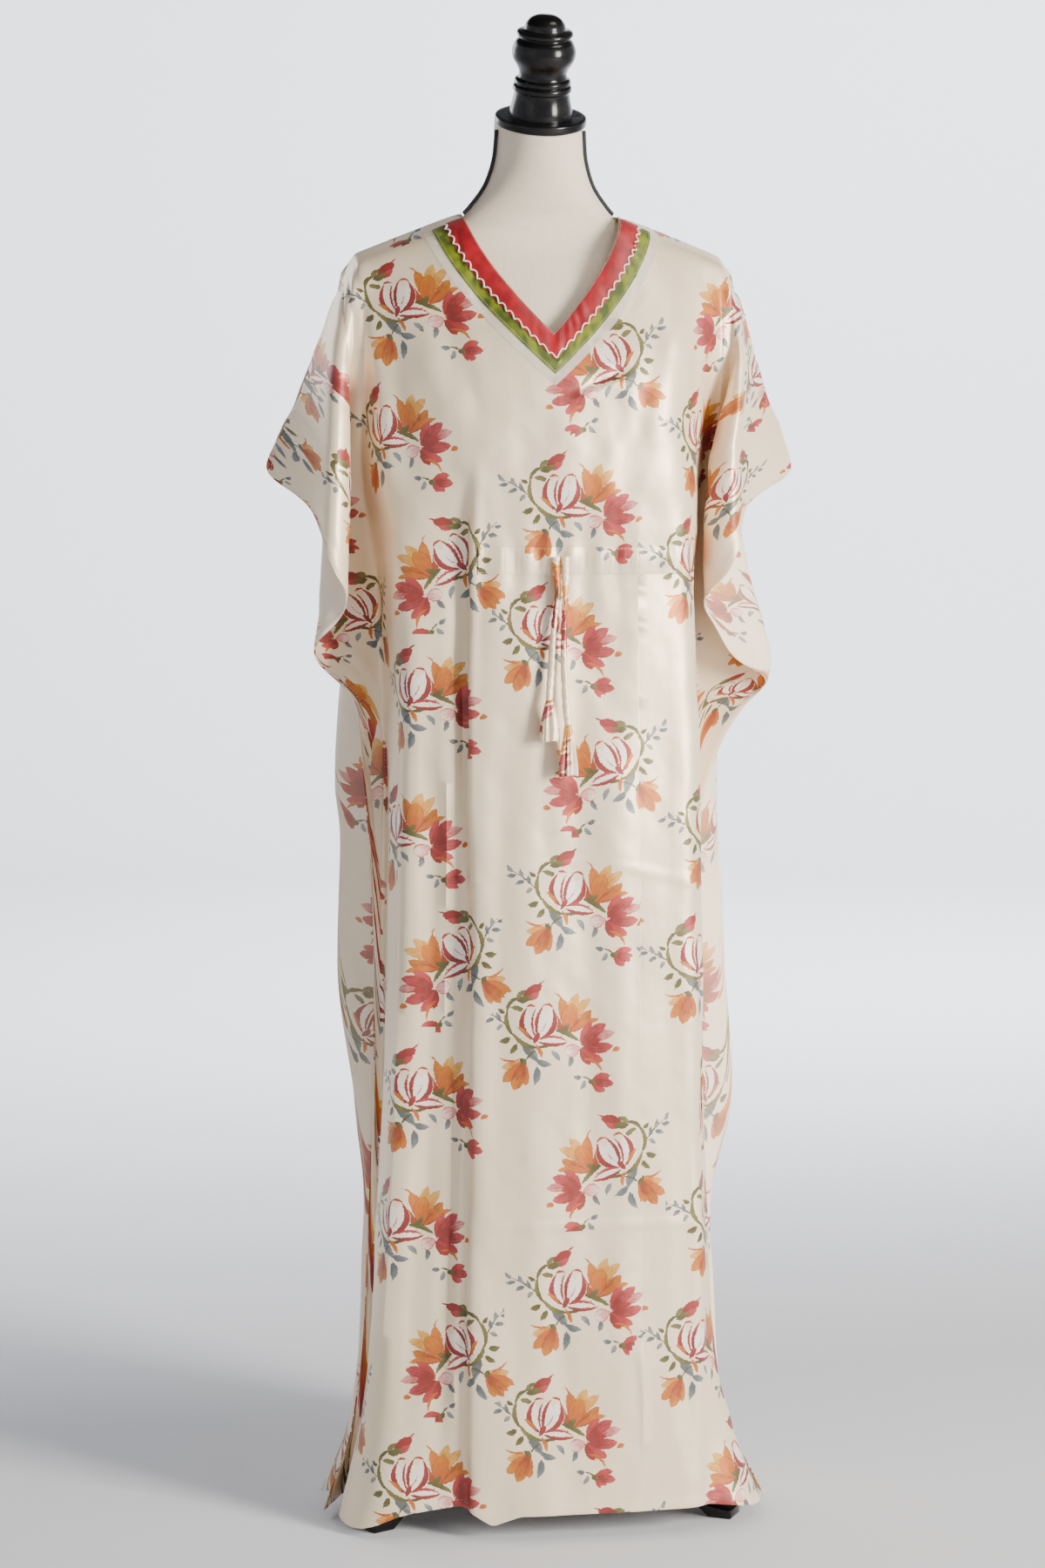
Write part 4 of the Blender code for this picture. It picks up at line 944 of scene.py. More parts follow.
def stroke_group(kind):
    tint = "NodeSocketColor"
    group, start, end = new_group("stroke_" + kind, "ShaderNodeTree", {
        "Cloth x": 0.0, "Cloth y": 0.0, "Wash": 0.5, "Ragged": -0.6, "Ground": tint,
        "Along per x": 1.0, "Along per y": 0.0, "Along start": 0.0,
        "Off per x": 0.0, "Off per y": 1.0, "Off start": 0.0, "Half width": 1.0, "Bend": 0.0,
        "Base colour": tint, "Tip colour": tint, "Line colour": tint, "Line width": 0.3},
        ("Colour", tint))
    along, off = (
        sum_of(group, "MULTIPLY_ADD", start.outputs["Cloth x"], start.outputs[way + " per x"],
               sum_of(group, "MULTIPLY_ADD", start.outputs["Cloth y"],
                      start.outputs[way + " per y"], start.outputs[way + " start"]))
        for way in ("Along", "Off"))
    bow = times(group, times(group, along, sum_of(group, "SUBTRACT", 1.0, along)),
                 start.outputs["Bend"])
    off = sum_of(group, "SUBTRACT", off, bow)
    curve = put(group, "ShaderNodeFloatCurve", {"Value": along})
    line = curve.mapping.curves[0]
    wanted = OUTLINES[kind]
    line.points[0].location = wanted[0]
    line.points[1].location = wanted[-1]
    for point in wanted[1:-1]:
        line.points.new(*point)
    curve.mapping.update()
    spare = sum_of(group, "SUBTRACT", curve.outputs[0], sum_of(group, "ABSOLUTE", off))
    inside = sum_of(group, "MULTIPLY_ADD", spare, start.outputs["Half width"],
                    start.outputs["Ragged"])
    covered = put(group, "ShaderNodeMapRange", {0: inside, 1: 0.0, 2: 0.35, 3: 0.0, 4: 1.0},
                  interpolation_type="SMOOTHSTEP").outputs[0]
    reach = plus(group, start.outputs["Line width"], 0.3)
    line_here = put(group, "ShaderNodeMapRange", {
        0: inside, 1: start.outputs["Line width"], 2: reach, 3: 1.0, 4: 0.0},
        interpolation_type="SMOOTHSTEP").outputs[0]
    veins = sum_of(group, "SINE", times(group, off, 12.0 if kind == "petal" else 3.0))
    share = sum_of(group, "MULTIPLY_ADD", along, 1.35, sum_of(group, "MULTIPLY_ADD",
                   start.outputs["Wash"], 1.2, -1.05))
    share = put(group, "ShaderNodeMath", {0: veins, 1: 0.13, 2: share}, operation="MULTIPLY_ADD",
                use_clamp=True).outputs[0]
    body = blend_colour(group, share, start.outputs["Base colour"], start.outputs["Tip colour"])
    body = blend_colour(group, line_here, body, start.outputs["Line colour"])
    result = blend_colour(group, covered, start.outputs["Ground"], body)
    group.links.new(result, end.inputs["Colour"])
    return group


STROKES = {kind: stroke_group(kind) for kind in OUTLINES}
print("stroke kinds:", sorted(STROKES))

# %% Sprig chart, drawn in millimetres
INKS = {
    "olive": (0.060, 0.054, 0.008), "moss": (0.13, 0.115, 0.026), "grey": (0.075, 0.095, 0.108),
    "mist": (0.19, 0.215, 0.22), "crimson": (0.19, 0.003, 0.007), "coral": (0.32, 0.009, 0.013),
    "rose": (0.47, 0.042, 0.052), "blush": (0.68, 0.27, 0.25), "white": (0.86, 0.76, 0.65),
    "orange": (0.43, 0.080, 0.0003), "rust": (0.25, 0.030, 0.0003), "amber": (0.53, 0.165, 0.0005),
    "cream": (0.70, 0.40, 0.085),
}
# kind, start x and y, end x and y, width, bend, base ink, tip ink, line ink, line width
SPRIG = (
    ("leaf", -31, -8, -14, -30, 10.3, 0.5, "grey", "mist", "grey", 0.3),
    ("leaf", -17, -25, 2, -31, 7.5, -0.3, "grey", "mist", "grey", 0.3),
    ("stem", -22, -15, -10, -26, 1.9, -2, "grey", "olive", "grey", 0.2),
    ("leaf", 21, -22, 16, -37, 5.8, 0.4, "grey", "mist", "grey", 0.3),
    ("leaf", -16, -30, -21, -53, 8, 0.5, "grey", "mist", "grey", 0.3),
    ("leaf", -1, -16, 9, -30, 5.8, 0.5, "mist", "grey", "grey", 0.2),
    ("stem", -42, 10, -70, 30, 2, -2, "olive", "grey", "olive", 0.1),
    ("leaf", -50, 16, -53, 28, 5.1, 0.3, "grey", "mist", "grey", 0.2),
    ("leaf", -57, 22, -62, 34, 4.8, 0.3, "mist", "grey", "grey", 0.2),
    ("leaf", -68, 28, -76, 37, 4.8, 0.3, "mist", "grey", "grey", 0.2),
    ("leaf", -64, 26, -77, 25, 4.6, 0.3, "grey", "mist", "grey", 0.2),
    ("leaf", -55, 20, -67, 15, 5.1, -0.3, "grey", "mist", "grey", 0.2),
    ("leaf", -47, 14, -55, 6, 4.8, -0.3, "mist", "grey", "grey", 0.2),
    ("stem", -27, 41, -43, 24, 4.2, -5, "olive", "moss", "olive", 0.3),
    ("stem", -42, 28, -37, 1, 4.9, -4, "moss", "olive", "olive", 0.3),
    ("stem", -38, 4, -13, -12, 5.2, -4, "moss", "olive", "olive", 0.3),
    ("stem", -17, -12, 13, -2, 4.2, -3, "olive", "moss", "olive", 0.3),
    ("leaf", -44, 25, -53, 31, 4.6, 0.3, "olive", "moss", "olive", 0.3),
    ("leaf", -40, 0, -54, -4, 6.9, 0.4, "olive", "moss", "olive", 0.3),
    ("leaf", -34, -6, -44, -18, 6.3, 0.3, "olive", "moss", "olive", 0.3),
    ("leaf", -40, 31, -21, 24, 5.8, 0.5, "moss", "olive", "olive", 0.4),
    ("petal", -27, 39, -5, 52, 11, 0.15, "crimson", "coral", "crimson", 0.5),
    ("petal", -26, 38, -8, 45, 7, -0.3, "coral", "rose", "crimson", 0.3),
    ("stem", -12, 50, -2, 57, 2.2, 0, "crimson", "coral", "crimson", 0.2),
    ("leaf", -33, 37, -14, 43, 8, -0.2, "olive", "moss", "olive", 0.4),
    ("leaf", -33, 39, -20, 49, 5.8, 0.3, "moss", "olive", "olive", 0.3),
    ("petal", 18, 4, 45, 34, 11, 0.5, "amber", "cream", "orange", 0.4),
    ("petal", 17, 4, 32, 41, 12, 0.2, "amber", "cream", "amber", 0.3),
    ("petal", 16, 3, 13, 38, 12, -0.3, "orange", "amber", "rust", 0.4),
    ("stem", 13, 32, 6, 43, 2.1, -3, "orange", "amber", "orange", 0.2),
    ("petal", 17, 1, 3, 25, 9, 0.5, "rust", "orange", "rust", 0.4),
    ("petal", 18, 0, 45, 22, 12, -0.3, "rust", "amber", "rust", 0.4),
    ("petal", 17, 0, 26, 31, 17, 0.1, "orange", "amber", "rust", 0.5),
    ("petal", 19, 0, 53, 12, 7, 0.6, "orange", "amber", "orange", 0.3),
    ("stem", 5, 5, 30, -9, 5.5, 1.5, "olive", "moss", "olive", 0.3),
    ("leaf", 10, 3, 22, 11, 6.3, -0.4, "olive", "moss", "olive", 0.3),
    ("petal", 31, -13, 45, 10, 9, 0.3, "coral", "rose", "crimson", 0.4),
    ("petal", 31, -15, 68, -3, 11, 0.4, "coral", "blush", "coral", 0.4),
    ("petal", 31, -14, 59, 7, 12, 0.2, "crimson", "rose", "coral", 0.5),
    ("petal", 31, -16, 54, -32, 11, -0.4, "coral", "rose", "crimson", 0.4),
    ("petal", 31, -16, 65, -17, 12, -0.2, "crimson", "rose", "coral", 0.5),
    ("petal", 30, -16, 41, -35, 8, -0.3, "crimson", "coral", "crimson", 0.4),
    ("petal", 33, -15, 53, -9, 8, 0.1, "crimson", "coral", "crimson", 0.2),
    ("petal", 31, -16, 14, -20, 14, 0.0, "blush", "white", "rose", 1.0),
    ("petal", 63, -23, 72, -20, 5.5, 0.3, "orange", "amber", "rust", 0.4),
    ("stem", 34, -28, 52, -43, 3.6, 4, "orange", "amber", "orange", 0.3),
    ("leaf", -16, -7, -23, 34, 17, 0.6, "white", "white", "white", 0.1),
    ("leaf", -14, -7, 5, 33, 18, -0.5, "white", "white", "white", 0.1),
    ("petal", -15, -6, -9, 29, 18, 0.0, "white", "white", "white", 0.1),
    ("petal", -14, -4, 15, -9, 9, 0.2, "white", "white", "white", 0.1),
    ("stem", -15, 1, -12, 17, 1.6, 1, "rose", "blush", "rose", 0.1),
    ("stem", -12, 2, -3, 17, 1.4, -2, "rose", "blush", "rose", 0.1),
    ("stem", -17, -4, -22, 30, 5.9, 9, "crimson", "coral", "crimson", 0.2),
    ("stem", -15, -2, -13, 29, 2.9, 4, "coral", "crimson", "crimson", 0.2),
    ("stem", -13, 0, -5, 31, 4.1, 4, "crimson", "coral", "crimson", 0.2),
    ("stem", -12, -4, 4, 28, 6.2, -9, "crimson", "coral", "crimson", 0.2),
    ("stem", -23, 30, -13, 30, 2.9, 2, "coral", "rose", "coral", 0.2),
    ("stem", 5, 28, -6, 31, 2.9, -2, "coral", "rose", "coral", 0.2),
    ("stem", -12, -4, 17, -8, 3.2, 4, "coral", "rose", "coral", 0.2),
    ("stem", -13, -6, 19, -9, 4.1, -3, "crimson", "coral", "crimson", 0.2),
    ("petal", -18, -8, -11, 4, 6, 0.0, "crimson", "coral", "crimson", 0.3),
    ("petal", -20, -5, -34, 11, 4.5, -0.6, "orange", "amber", "rust", 0.3),
    ("petal", -17, -7, -10, -24, 4.5, 0.6, "orange", "amber", "rust", 0.3),
    ("stem", -14, -14, -28, -27, 2.4, -2, "olive", "grey", "olive", 0.2),
    ("petal", -29, -25, -52, -31, 9, 0.3, "amber", "cream", "orange", 0.4),
    ("petal", -29, -26, -52, -46, 12, 0.1, "orange", "amber", "rust", 0.4),
    ("petal", -27, -26, -28, -51, 11, -0.3, "orange", "amber", "rust", 0.4),
    ("petal", -28, -26, -41, -55, 14, 0.0, "rust", "amber", "orange", 0.5),
    ("petal", -30, -25, -37, -42, 7, 0.2, "rust", "orange", "rust", 0.2),
    ("stem", -32, -23, -54, -20, 2.8, 3, "orange", "amber", "orange", 0.2),
    ("leaf", -34, -22, -25, -30, 5.8, 0.2, "olive", "moss", "olive", 0.3),
    ("stem", 30, -46, 41, -52, 2.1, 1, "olive", "moss", "olive", 0.2),
    ("leaf", 31, -47, 20, -44, 5.3, 0.3, "grey", "mist", "grey", 0.2),
    ("leaf", 34, -49, 27, -60, 5.5, 0.4, "mist", "grey", "grey", 0.2),
    ("petal", 40, -51, 60, -47, 8, 0.3, "coral", "rose", "crimson", 0.4),
    ("petal", 40, -53, 54, -63, 8, -0.3, "coral", "rose", "crimson", 0.4),
    ("petal", 40, -52, 63, -56, 10, 0.0, "crimson", "rose", "coral", 0.4),
    ("leaf", 36, -51, 46, -54, 6.3, 0.0, "olive", "moss", "olive", 0.3),
)
INK_BLEED = 1.2


# The chart is cut into cells, and each cell's finish draws only the strokes that reach it
CELL_MARGIN = 7.0


def reach_of(stroke):
    kind, x0, y0, x1, y1, width, bend = stroke[:7]
    long, half = math.hypot(x1 - x0, y1 - y0), (width + INK_BLEED) / 2
    bow = bend if kind == "stem" else bend * half
    xm = (x0 + x1) / 2 - bow * (y1 - y0) / long
    ym = (y0 + y1) / 2 + bow * (x1 - x0) / long
    return (min(x0, x1, xm) - half, min(y0, y1, ym) - half,
            max(x0, x1, xm) + half, max(y0, y1, ym) + half)


def cell_box(cell):
    i, j = cell % CELLS[0], cell // CELLS[0]
    wide, tall = (2000 * SPRIG_HALF[k] / CELLS[k] for k in (0, 1))
    x0 = 1000 * (SPRIG_CENTRE[0] - SPRIG_HALF[0]) + i * wide
    y0 = 1000 * (SPRIG_CENTRE[1] - SPRIG_HALF[1]) + j * tall
    return x0 - CELL_MARGIN, y0 - CELL_MARGIN, x0 + wide + CELL_MARGIN, y0 + tall + CELL_MARGIN


def strokes_in(cell):
    x0, y0, x1, y1 = cell_box(cell)
    return [stroke for stroke, (a, b, c, d) in ((s, reach_of(s)) for s in SPRIG)
            if a < x1 and c > x0 and b < y1 and d > y0]


def draw_sprig(tree, chart, ground, place, wash, ragged):
    split = put(tree, "ShaderNodeSeparateXYZ", {0: place})
    colour = ground
    for kind, x0, y0, x1, y1, width, bend, base, tip, line, line_width in chart:
        long, half = math.hypot(x1 - x0, y1 - y0), (width + INK_BLEED) / 2
        c, s = (x1 - x0) / long, (y1 - y0) / long
        node = put(tree, "ShaderNodeGroup", {
            "Along per x": c / long, "Along per y": s / long,
            "Along start": -(x0 * c + y0 * s) / long,
            "Off per x": -s / half, "Off per y": c / half,
            "Off start": (x0 * s - y0 * c) / half, "Half width": half,
            "Bend": 4 * (bend / half if kind == "stem" else bend),
            "Base colour": (*INKS[base], 1.0), "Tip colour": (*INKS[tip], 1.0),
            "Line colour": (*INKS[line], 1.0), "Line width": line_width,
            "Cloth x": split.outputs[0], "Cloth y": split.outputs[1],
            "Wash": wash, "Ragged": ragged, "Ground": colour}, node_tree=STROKES[kind])
        colour = node.outputs["Colour"]
    return colour


print("strokes:", len(SPRIG), "in cells:", [len(strokes_in(k)) for k in range(CELLS[0] * CELLS[1])])

# %% [markdown]
# ## Satin
# Satin's long floats of silk lie side by side, so light spreads along them: a broad, soft
# gloss rather than a mirror. The finish mixes a low roughness with a fine rib from the
# weave, slubs drawn out along the thread, and a faint crinkle. The inside is the dull
# side: paler, rougher, with the print only showing through.

# %% Satin finish
IVORY = (0.83, 0.675, 0.475)
INSIDE_IVORY = (0.84, 0.715, 0.550)


def new_finish(name):
    finish = bpy.data.materials.new(name)
    finish.use_nodes = True
    return finish, finish.node_tree


# Colour, roughness and bump go in by links; what is the same all over is set on its socket
def complete(tree, colour, rough, height, strength, distance, sockets):
    shader = tree.nodes["Principled BSDF"]
    bump = put(tree, "ShaderNodeBump", {
        "Height": height, "Strength": strength, "Distance": distance})
    for label, link in (("Base Color", colour), ("Roughness", rough), ("Normal", bump.outputs[0])):
        tree.links.new(link, shader.inputs[label])
    for label, value in sockets.items():
        shader.inputs[label].default_value = value


def uv_in_mm(tree, name):
    place = put(tree, "ShaderNodeUVMap", uv_map=name).outputs[0]
    return put(tree, "ShaderNodeVectorMath", {0: place, 3: 1000.0}, operation="SCALE").outputs[0]


def noise(tree, place, scale, detail):
    return put(tree, "ShaderNodeTexNoise", {
        "Vector": place, "Scale": scale, "Detail": detail}).outputs[0]


def ranged(tree, value, low, high, start=0.0, end=1.0):
    return put(tree, "ShaderNodeMapRange", {
        0: value, 1: start, 2: end, 3: low, 4: high}).outputs[0]


def cloth_grain(tree, place, stretch):
    moved = put(tree, "ShaderNodeMapping", {0: place, 3: stretch}).outputs[0]
    return noise(tree, moved, 1.0, 1.0)


def satin(name, chart=(), inside=False):
    finish, tree = new_finish(name)
    cloth = uv_in_mm(tree, "cloth")
    colour = (*(INSIDE_IVORY if inside else IVORY), 1.0)
    slub = cloth_grain(tree, cloth, (0.9, 0.045, 1.0))
    broad = cloth_grain(tree, cloth, (0.016, 0.012, 1.0))
    toned = blend_colour(tree, times(tree, slub, 0.10), colour,
                         (colour[0] * 0.80, colour[1] * 0.78, colour[2] * 0.74, 1.0))
    toned = blend_colour(tree, times(tree, broad, 0.14), toned,
                         (colour[0] * 0.92, colour[1] * 0.90, colour[2] * 0.84, 1.0))
    if chart:
        wash = cloth_grain(tree, cloth, (0.14, 0.14, 1.0))
        rough_edge = ranged(tree, cloth_grain(tree, cloth, (0.45, 0.45, 1.0)), -1.1, -0.1, 0.3, 0.7)
        drawn = draw_sprig(tree, chart, toned, uv_in_mm(tree, "sprig"), wash, rough_edge)
        toned = blend_colour(tree, 0.78 if inside else 0.95, toned, drawn)
    rib = put(tree, "ShaderNodeTexWave", {"Vector": cloth, "Scale": 0.5, "Distortion": 1.2,
              "Detail": 1.0}, bands_direction="DIAGONAL").outputs[1]
    crinkle = cloth_grain(tree, cloth, (0.055, 0.040, 1.0))
    rough = ranged(tree, slub, 0.55 if inside else 0.37, 0.70 if inside else 0.49)
    height = plus(tree, crinkle, plus(tree, times(tree, slub, 0.05), times(tree, rib, 0.02)))
    complete(tree, toned, rough, height, 0.5, 0.0012, {
        "Metallic": 0.10 if inside else 0.30, "Specular IOR Level": 0.30 if inside else 0.42,
        "Sheen Weight": 0.04, "Sheen Roughness": 0.4, "Coat Weight": 0.0 if inside else 0.05,
        "Coat Roughness": 0.30, "Anisotropic": 0.0 if inside else 0.35})
    return finish


CELL_COUNT = CELLS[0] * CELLS[1]
SATIN = {"plain": satin("ivory_satin"), "sprig": satin("printed_satin", SPRIG[26:46]),
         "plain_in": satin("ivory_satin_inside", inside=True)}
PRINTED = [satin("printed_satin_%d" % (k + 1), strokes_in(k)) for k in range(CELL_COUNT)]
PRINTED_IN = [satin("printed_satin_inside_%d" % (k + 1), strokes_in(k), inside=True)
              for k in range(CELL_COUNT)]
print("satin nodes:", {k: len(m.node_tree.nodes) for k, m in SATIN.items()})

# %% [markdown]
# ## The two panels
# Front and back are the same cut with different necklines. Their fine grids carry the
# creases, and the cloth is folded over once along every free edge, which makes a hem a
# few millimetres wide that stands slightly proud.

# %% Kaftan panels
HEM = 0.008
HEM_RISE = 0.0006
SPRIG_START = {"front": (-0.004, 0.062), "back": (0.045, 0.020)}


def kaftan_panel(layer):
    flip = layer == "back"
    points = PANEL[layer]
    across_cut, down_cut = FLAT[layer]
    rows, cols = points.shape[:2]
    side = np.minimum(across_cut - across_cut[:, :1], across_cut[:, -1:] - across_cut)
    low = down_cut[-1:] - down_cut
    edge = np.minimum(side, low)
    proud = HEM_RISE * np.clip((HEM - edge) / 0.0025, 0, 1) * np.clip(edge / 0.0008 + 0.4, 0, 1)
    vertices, faces, inner = shell(points, SHELL / 2, SHELL / 2, flip)
    lifted = facing(layer, points) * proud[..., None]
    vertices[:rows * cols] += lifted.reshape(-1, 3)
    cut = np.stack([across_cut, down_cut], axis=-1).reshape(-1, 2)
    cut = np.concatenate([cut, cut])
    if flip:
        cut[:, 0] *= -1
    corner_cut = cut[faces]
    places = sprig_places(SPRIG_START[layer])
    sprig_uv, under = lay_print(corner_cut, corner_cut.mean(1), places)
    finish = under + (1 + CELL_COUNT) * inner
    piece = make_piece("kaftan_" + layer, vertices, faces.tolist(),
                       [SATIN["plain"], *PRINTED, SATIN["plain_in"], *PRINTED_IN], finish)
    store_uv(piece, "cloth", corner_cut)
    store_uv(piece, "sprig", sprig_uv)
    print(piece.name, "faces", len(faces), "under sprigs", int((under > 0).sum()))
    return piece


for layer in ("front", "back"):
    kaftan = kaftan_panel(layer)
    belongs(kaftan, layer)
    across_cut, down_cut = FLAT[layer]
    cut = (round(float(np.ptp(across_cut, axis=1).max()), 3), round(float(down_cut.max()), 3))

# %% [markdown]
# ## Places on the finished cloth
# Everything sewn on is laid on the finished outer faces, found in two ways: by grid row
# and column, for lines that run with the hem, and by looking straight at the cloth from
# its own side, for the neckline.

# %% Finding a place on the cloth
FACE = {layer: PANEL[layer] + facing(layer, PANEL[layer]) * SHELL / 2 for layer in PANEL}


def cloth_tree(layer):
    rows, cols = FACE[layer].shape[:2]
    index = np.arange(rows * cols).reshape(rows, cols)
    quads = np.stack([index[:-1, :-1], index[1:, :-1], index[1:, 1:], index[:-1, 1:]], axis=-1)
    return BVHTree.FromPolygons([Vector(p) for p in FACE[layer].reshape(-1, 3)],
                                quads.reshape(-1, 4).tolist())


CLOTH_TREE = {layer: cloth_tree(layer) for layer in FACE}


def laid(layer, x, z):
    sign = -1 if layer == "front" else 1
    hit = CLOTH_TREE[layer].ray_cast(Vector((x, sign, z)), Vector((0, -sign, 0)))[0]
    return hit[1] if hit else sign * SEAM


# Values of a grid at fractional rows and columns
def between(grid, row, col):
    row = np.clip(np.asarray(row, float), 0, grid.shape[0] - 1.001)
    col = np.clip(np.asarray(col, float), 0, grid.shape[1] - 1.001)
    r, c = row.astype(int), col.astype(int)
    a, b = row - r, col - c
    if grid.ndim == 3:
        a, b = a[..., None], b[..., None]
    return ((grid[r, c] * (1 - b) + grid[r, c + 1] * b) * (1 - a)
            + (grid[r + 1, c] * (1 - b) + grid[r + 1, c + 1] * b) * a)


# %% [markdown]
# ## Sewn lines
# A machine seam is hundreds of equal stitches along a line, so Geometry Nodes set them:
# the line becomes a curve, is cut into steps of one stitch and one gap, and each step
# gets a small rounded thread turned along the line. The threads are made real at the end,
# since an export drops instances.

# %% Geometry Nodes for sewn lines
def line_tree(name, sizes):
    inputs = {"Line": "NodeSocketGeometry", **sizes, "Finish": "NodeSocketMaterial"}
    return new_group(name, "GeometryNodeTree", inputs, ("Geometry", "NodeSocketGeometry"))


def in_steps(tree, start, length):
    curve = put(tree, "GeometryNodeMeshToCurve", {0: start.outputs["Line"]})
    return put(tree, "GeometryNodeResampleCurve", {"Curve": curve.outputs[0], "Length": length},
               mode="LENGTH").outputs[0]


def made_real(tree, start, end, geometry):
    real = put(tree, "GeometryNodeRealizeInstances", {0: geometry})
    smooth = put(tree, "GeometryNodeSetShadeSmooth", {0: real.outputs[0]})
    dressed = put(tree, "GeometryNodeSetMaterial", {
        0: smooth.outputs[0], "Material": start.outputs["Finish"]})
    tree.links.new(dressed.outputs[0], end.inputs[0])
    return tree


# A round cord of eight sides along steps that are moved by an offset
def cord_along(tree, steps, offset, radius):
    moved = put(tree, "GeometryNodeSetPosition", {"Geometry": steps, "Offset": offset})
    ring = put(tree, "GeometryNodeCurvePrimitiveCircle", {"Resolution": 8, "Radius": radius})
    return put(tree, "GeometryNodeCurveToMesh", {
        "Curve": moved.outputs[0], "Profile Curve": ring.outputs[0], "Fill Caps": True}).outputs[0]


def scaled(tree, way, length):
    return put(tree, "ShaderNodeVectorMath", {0: way, 3: length}, operation="SCALE").outputs[0]


def stitch_tree():
    tree, start, end = line_tree("running_stitch", {
        "Stitch length": 0.0026, "Gap": 0.0009, "Thread radius": 0.00022})
    long, thin = start.outputs["Stitch length"], start.outputs["Thread radius"]
    steps = in_steps(tree, start, plus(tree, long, start.outputs["Gap"]))
    thread = put(tree, "GeometryNodeMeshUVSphere", {"Segments": 6, "Rings": 4, "Radius": 1.0})
    size = put(tree, "ShaderNodeCombineXYZ", {0: thin, 1: thin, 2: times(tree, long, 0.5)})
    turn = put(tree, "FunctionNodeAlignRotationToVector", {
        "Vector": put(tree, "GeometryNodeInputTangent").outputs[0]}, axis="Z")
    laid_down = put(tree, "GeometryNodeInstanceOnPoints", {
        "Points": steps, "Instance": thread.outputs["Mesh"], "Rotation": turn.outputs[0],
        "Scale": size.outputs[0]})
    return made_real(tree, start, end, laid_down.outputs[0])


def scallop_tree():
    tree, start, end = line_tree("scalloped_cord", {
        "Scallop width": 0.009, "Scallop rise": 0.003, "Cord radius": 0.0008})
    steps = in_steps(tree, start, 0.0007)
    run = put(tree, "GeometryNodeSplineParameter").outputs["Length"]
    phase = sum_of(tree, "DIVIDE", times(tree, run, math.pi), start.outputs["Scallop width"])
    arch = sum_of(tree, "ABSOLUTE", sum_of(tree, "SINE", phase))
    toward = put(tree, "GeometryNodeInputNamedAttribute", {"Name": "inward"},
                 data_type="FLOAT_VECTOR")
    offset = scaled(tree, toward.outputs[0], times(tree, arch, start.outputs["Scallop rise"]))
    body = cord_along(tree, steps, offset, start.outputs["Cord radius"])
    return made_real(tree, start, end, body)


def strand_tree():
    tree, start, end = line_tree("twisted_strands", {
        "Strand radius": 0.00115, "Twist length": 0.011, "Offset": 0.0011})
    steps = in_steps(tree, start, 0.0010)
    run = put(tree, "GeometryNodeSplineParameter").outputs["Length"]
    along = put(tree, "GeometryNodeInputTangent").outputs[0]
    side = put(tree, "GeometryNodeInputNormal").outputs[0]
    over = put(tree, "ShaderNodeVectorMath", {0: along, 1: side},
               operation="CROSS_PRODUCT").outputs[0]
    angle = sum_of(tree, "DIVIDE", times(tree, run, 2 * math.pi), start.outputs["Twist length"])
    joined = put(tree, "GeometryNodeJoinGeometry")
    for strand in range(3):
        phase = plus(tree, angle, strand * 2 * math.pi / 3)
        parts = [scaled(tree, way, times(tree, sum_of(tree, wave, phase), start.outputs["Offset"]))
                 for way, wave in ((side, "COSINE"), (over, "SINE"))]
        offset = put(tree, "ShaderNodeVectorMath", {0: parts[0], 1: parts[1]}, operation="ADD")
        body = cord_along(tree, steps, offset.outputs[0], start.outputs["Strand radius"])
        tree.links.new(body, joined.inputs[0])
    return made_real(tree, start, end, joined.outputs[0])


STITCHES, SCALLOPS, STRANDS = stitch_tree(), scallop_tree(), strand_tree()


# Lines of points made a mesh of edges, then grown by a tree into a plain mesh
def grow(name, tree, lines, values, finish, toward=None):
    vertices = np.concatenate(lines) + np.array(SHIFT)
    edges, first = [], 0
    for line in lines:
        edges += [(first + i, first + i + 1) for i in range(len(line) - 1)]
        first += len(line)
    base = bpy.data.meshes.new(name + "_line")
    base.from_pydata(vertices.tolist(), edges, [])
    if toward is not None:
        layer = base.attributes.new("inward", "FLOAT_VECTOR", "POINT")
        layer.data.foreach_set("vector", np.concatenate(toward).astype(np.float32).ravel())
    carrier = placed(name + "_line", base)
    modifier = carrier.modifiers.new("growth", "NODES")
    modifier.node_group = tree
    wanted = {**values, "Finish": finish}
    for item in tree.interface.items_tree:
        if item.item_type == "SOCKET" and item.in_out == "INPUT" and item.name in wanted:
            modifier[item.identifier] = wanted[item.name]
    ready = carrier.evaluated_get(bpy.context.evaluated_depsgraph_get())
    mesh = bpy.data.meshes.new_from_object(ready)
    bpy.data.objects.remove(carrier)
    print(name, "faces", len(mesh.polygons))
    return placed(name, mesh)


# %% [markdown]
# ## Threads, trims and cords: their finishes
# Ribbon satin is the same idea as the printed satin in a stronger colour. Its colour turns
# in soft patches from a deep tone to a brighter one, from deep olive to lime on the green
# ribbon: that brighter tone is painted sheen, standing for where satin faces the light.
# Cords and threads are matte, with a fine twist in the bump.

# %% Trim finishes
def ribbon(name, deep, sheen_colour, rough, clear=1.0):
    finish, tree = new_finish(name)
    cloth = uv_in_mm(tree, "cloth")
    streak = cloth_grain(tree, cloth, (0.035, 0.9, 1.0))
    sheen_and_bump_patch = cloth_grain(tree, cloth, (0.07, 0.07, 1.0))
    # Painted sheen: patches of this noise turn the deep colour into the brighter sheen colour; the
    # same noise also raises the bump
    share = ranged(tree, sheen_and_bump_patch, 0.0, 1.0, 0.38, 0.62)
    colour = blend_colour(tree, share, (*deep, 1.0), (*sheen_colour, 1.0))
    colour = blend_colour(tree, times(tree, streak, 0.25), colour,
                          (deep[0] * 0.7, deep[1] * 0.7, deep[2] * 0.7, 1.0))
    roughness = ranged(tree, streak, rough, rough + 0.14)
    complete(tree, colour, roughness, plus(tree, sheen_and_bump_patch, times(tree, streak, 0.15)), 0.5, 0.0010, {
        "Specular IOR Level": 0.6, "Anisotropic": 0.4, "Sheen Weight": 0.08, "Alpha": clear})
    return finish


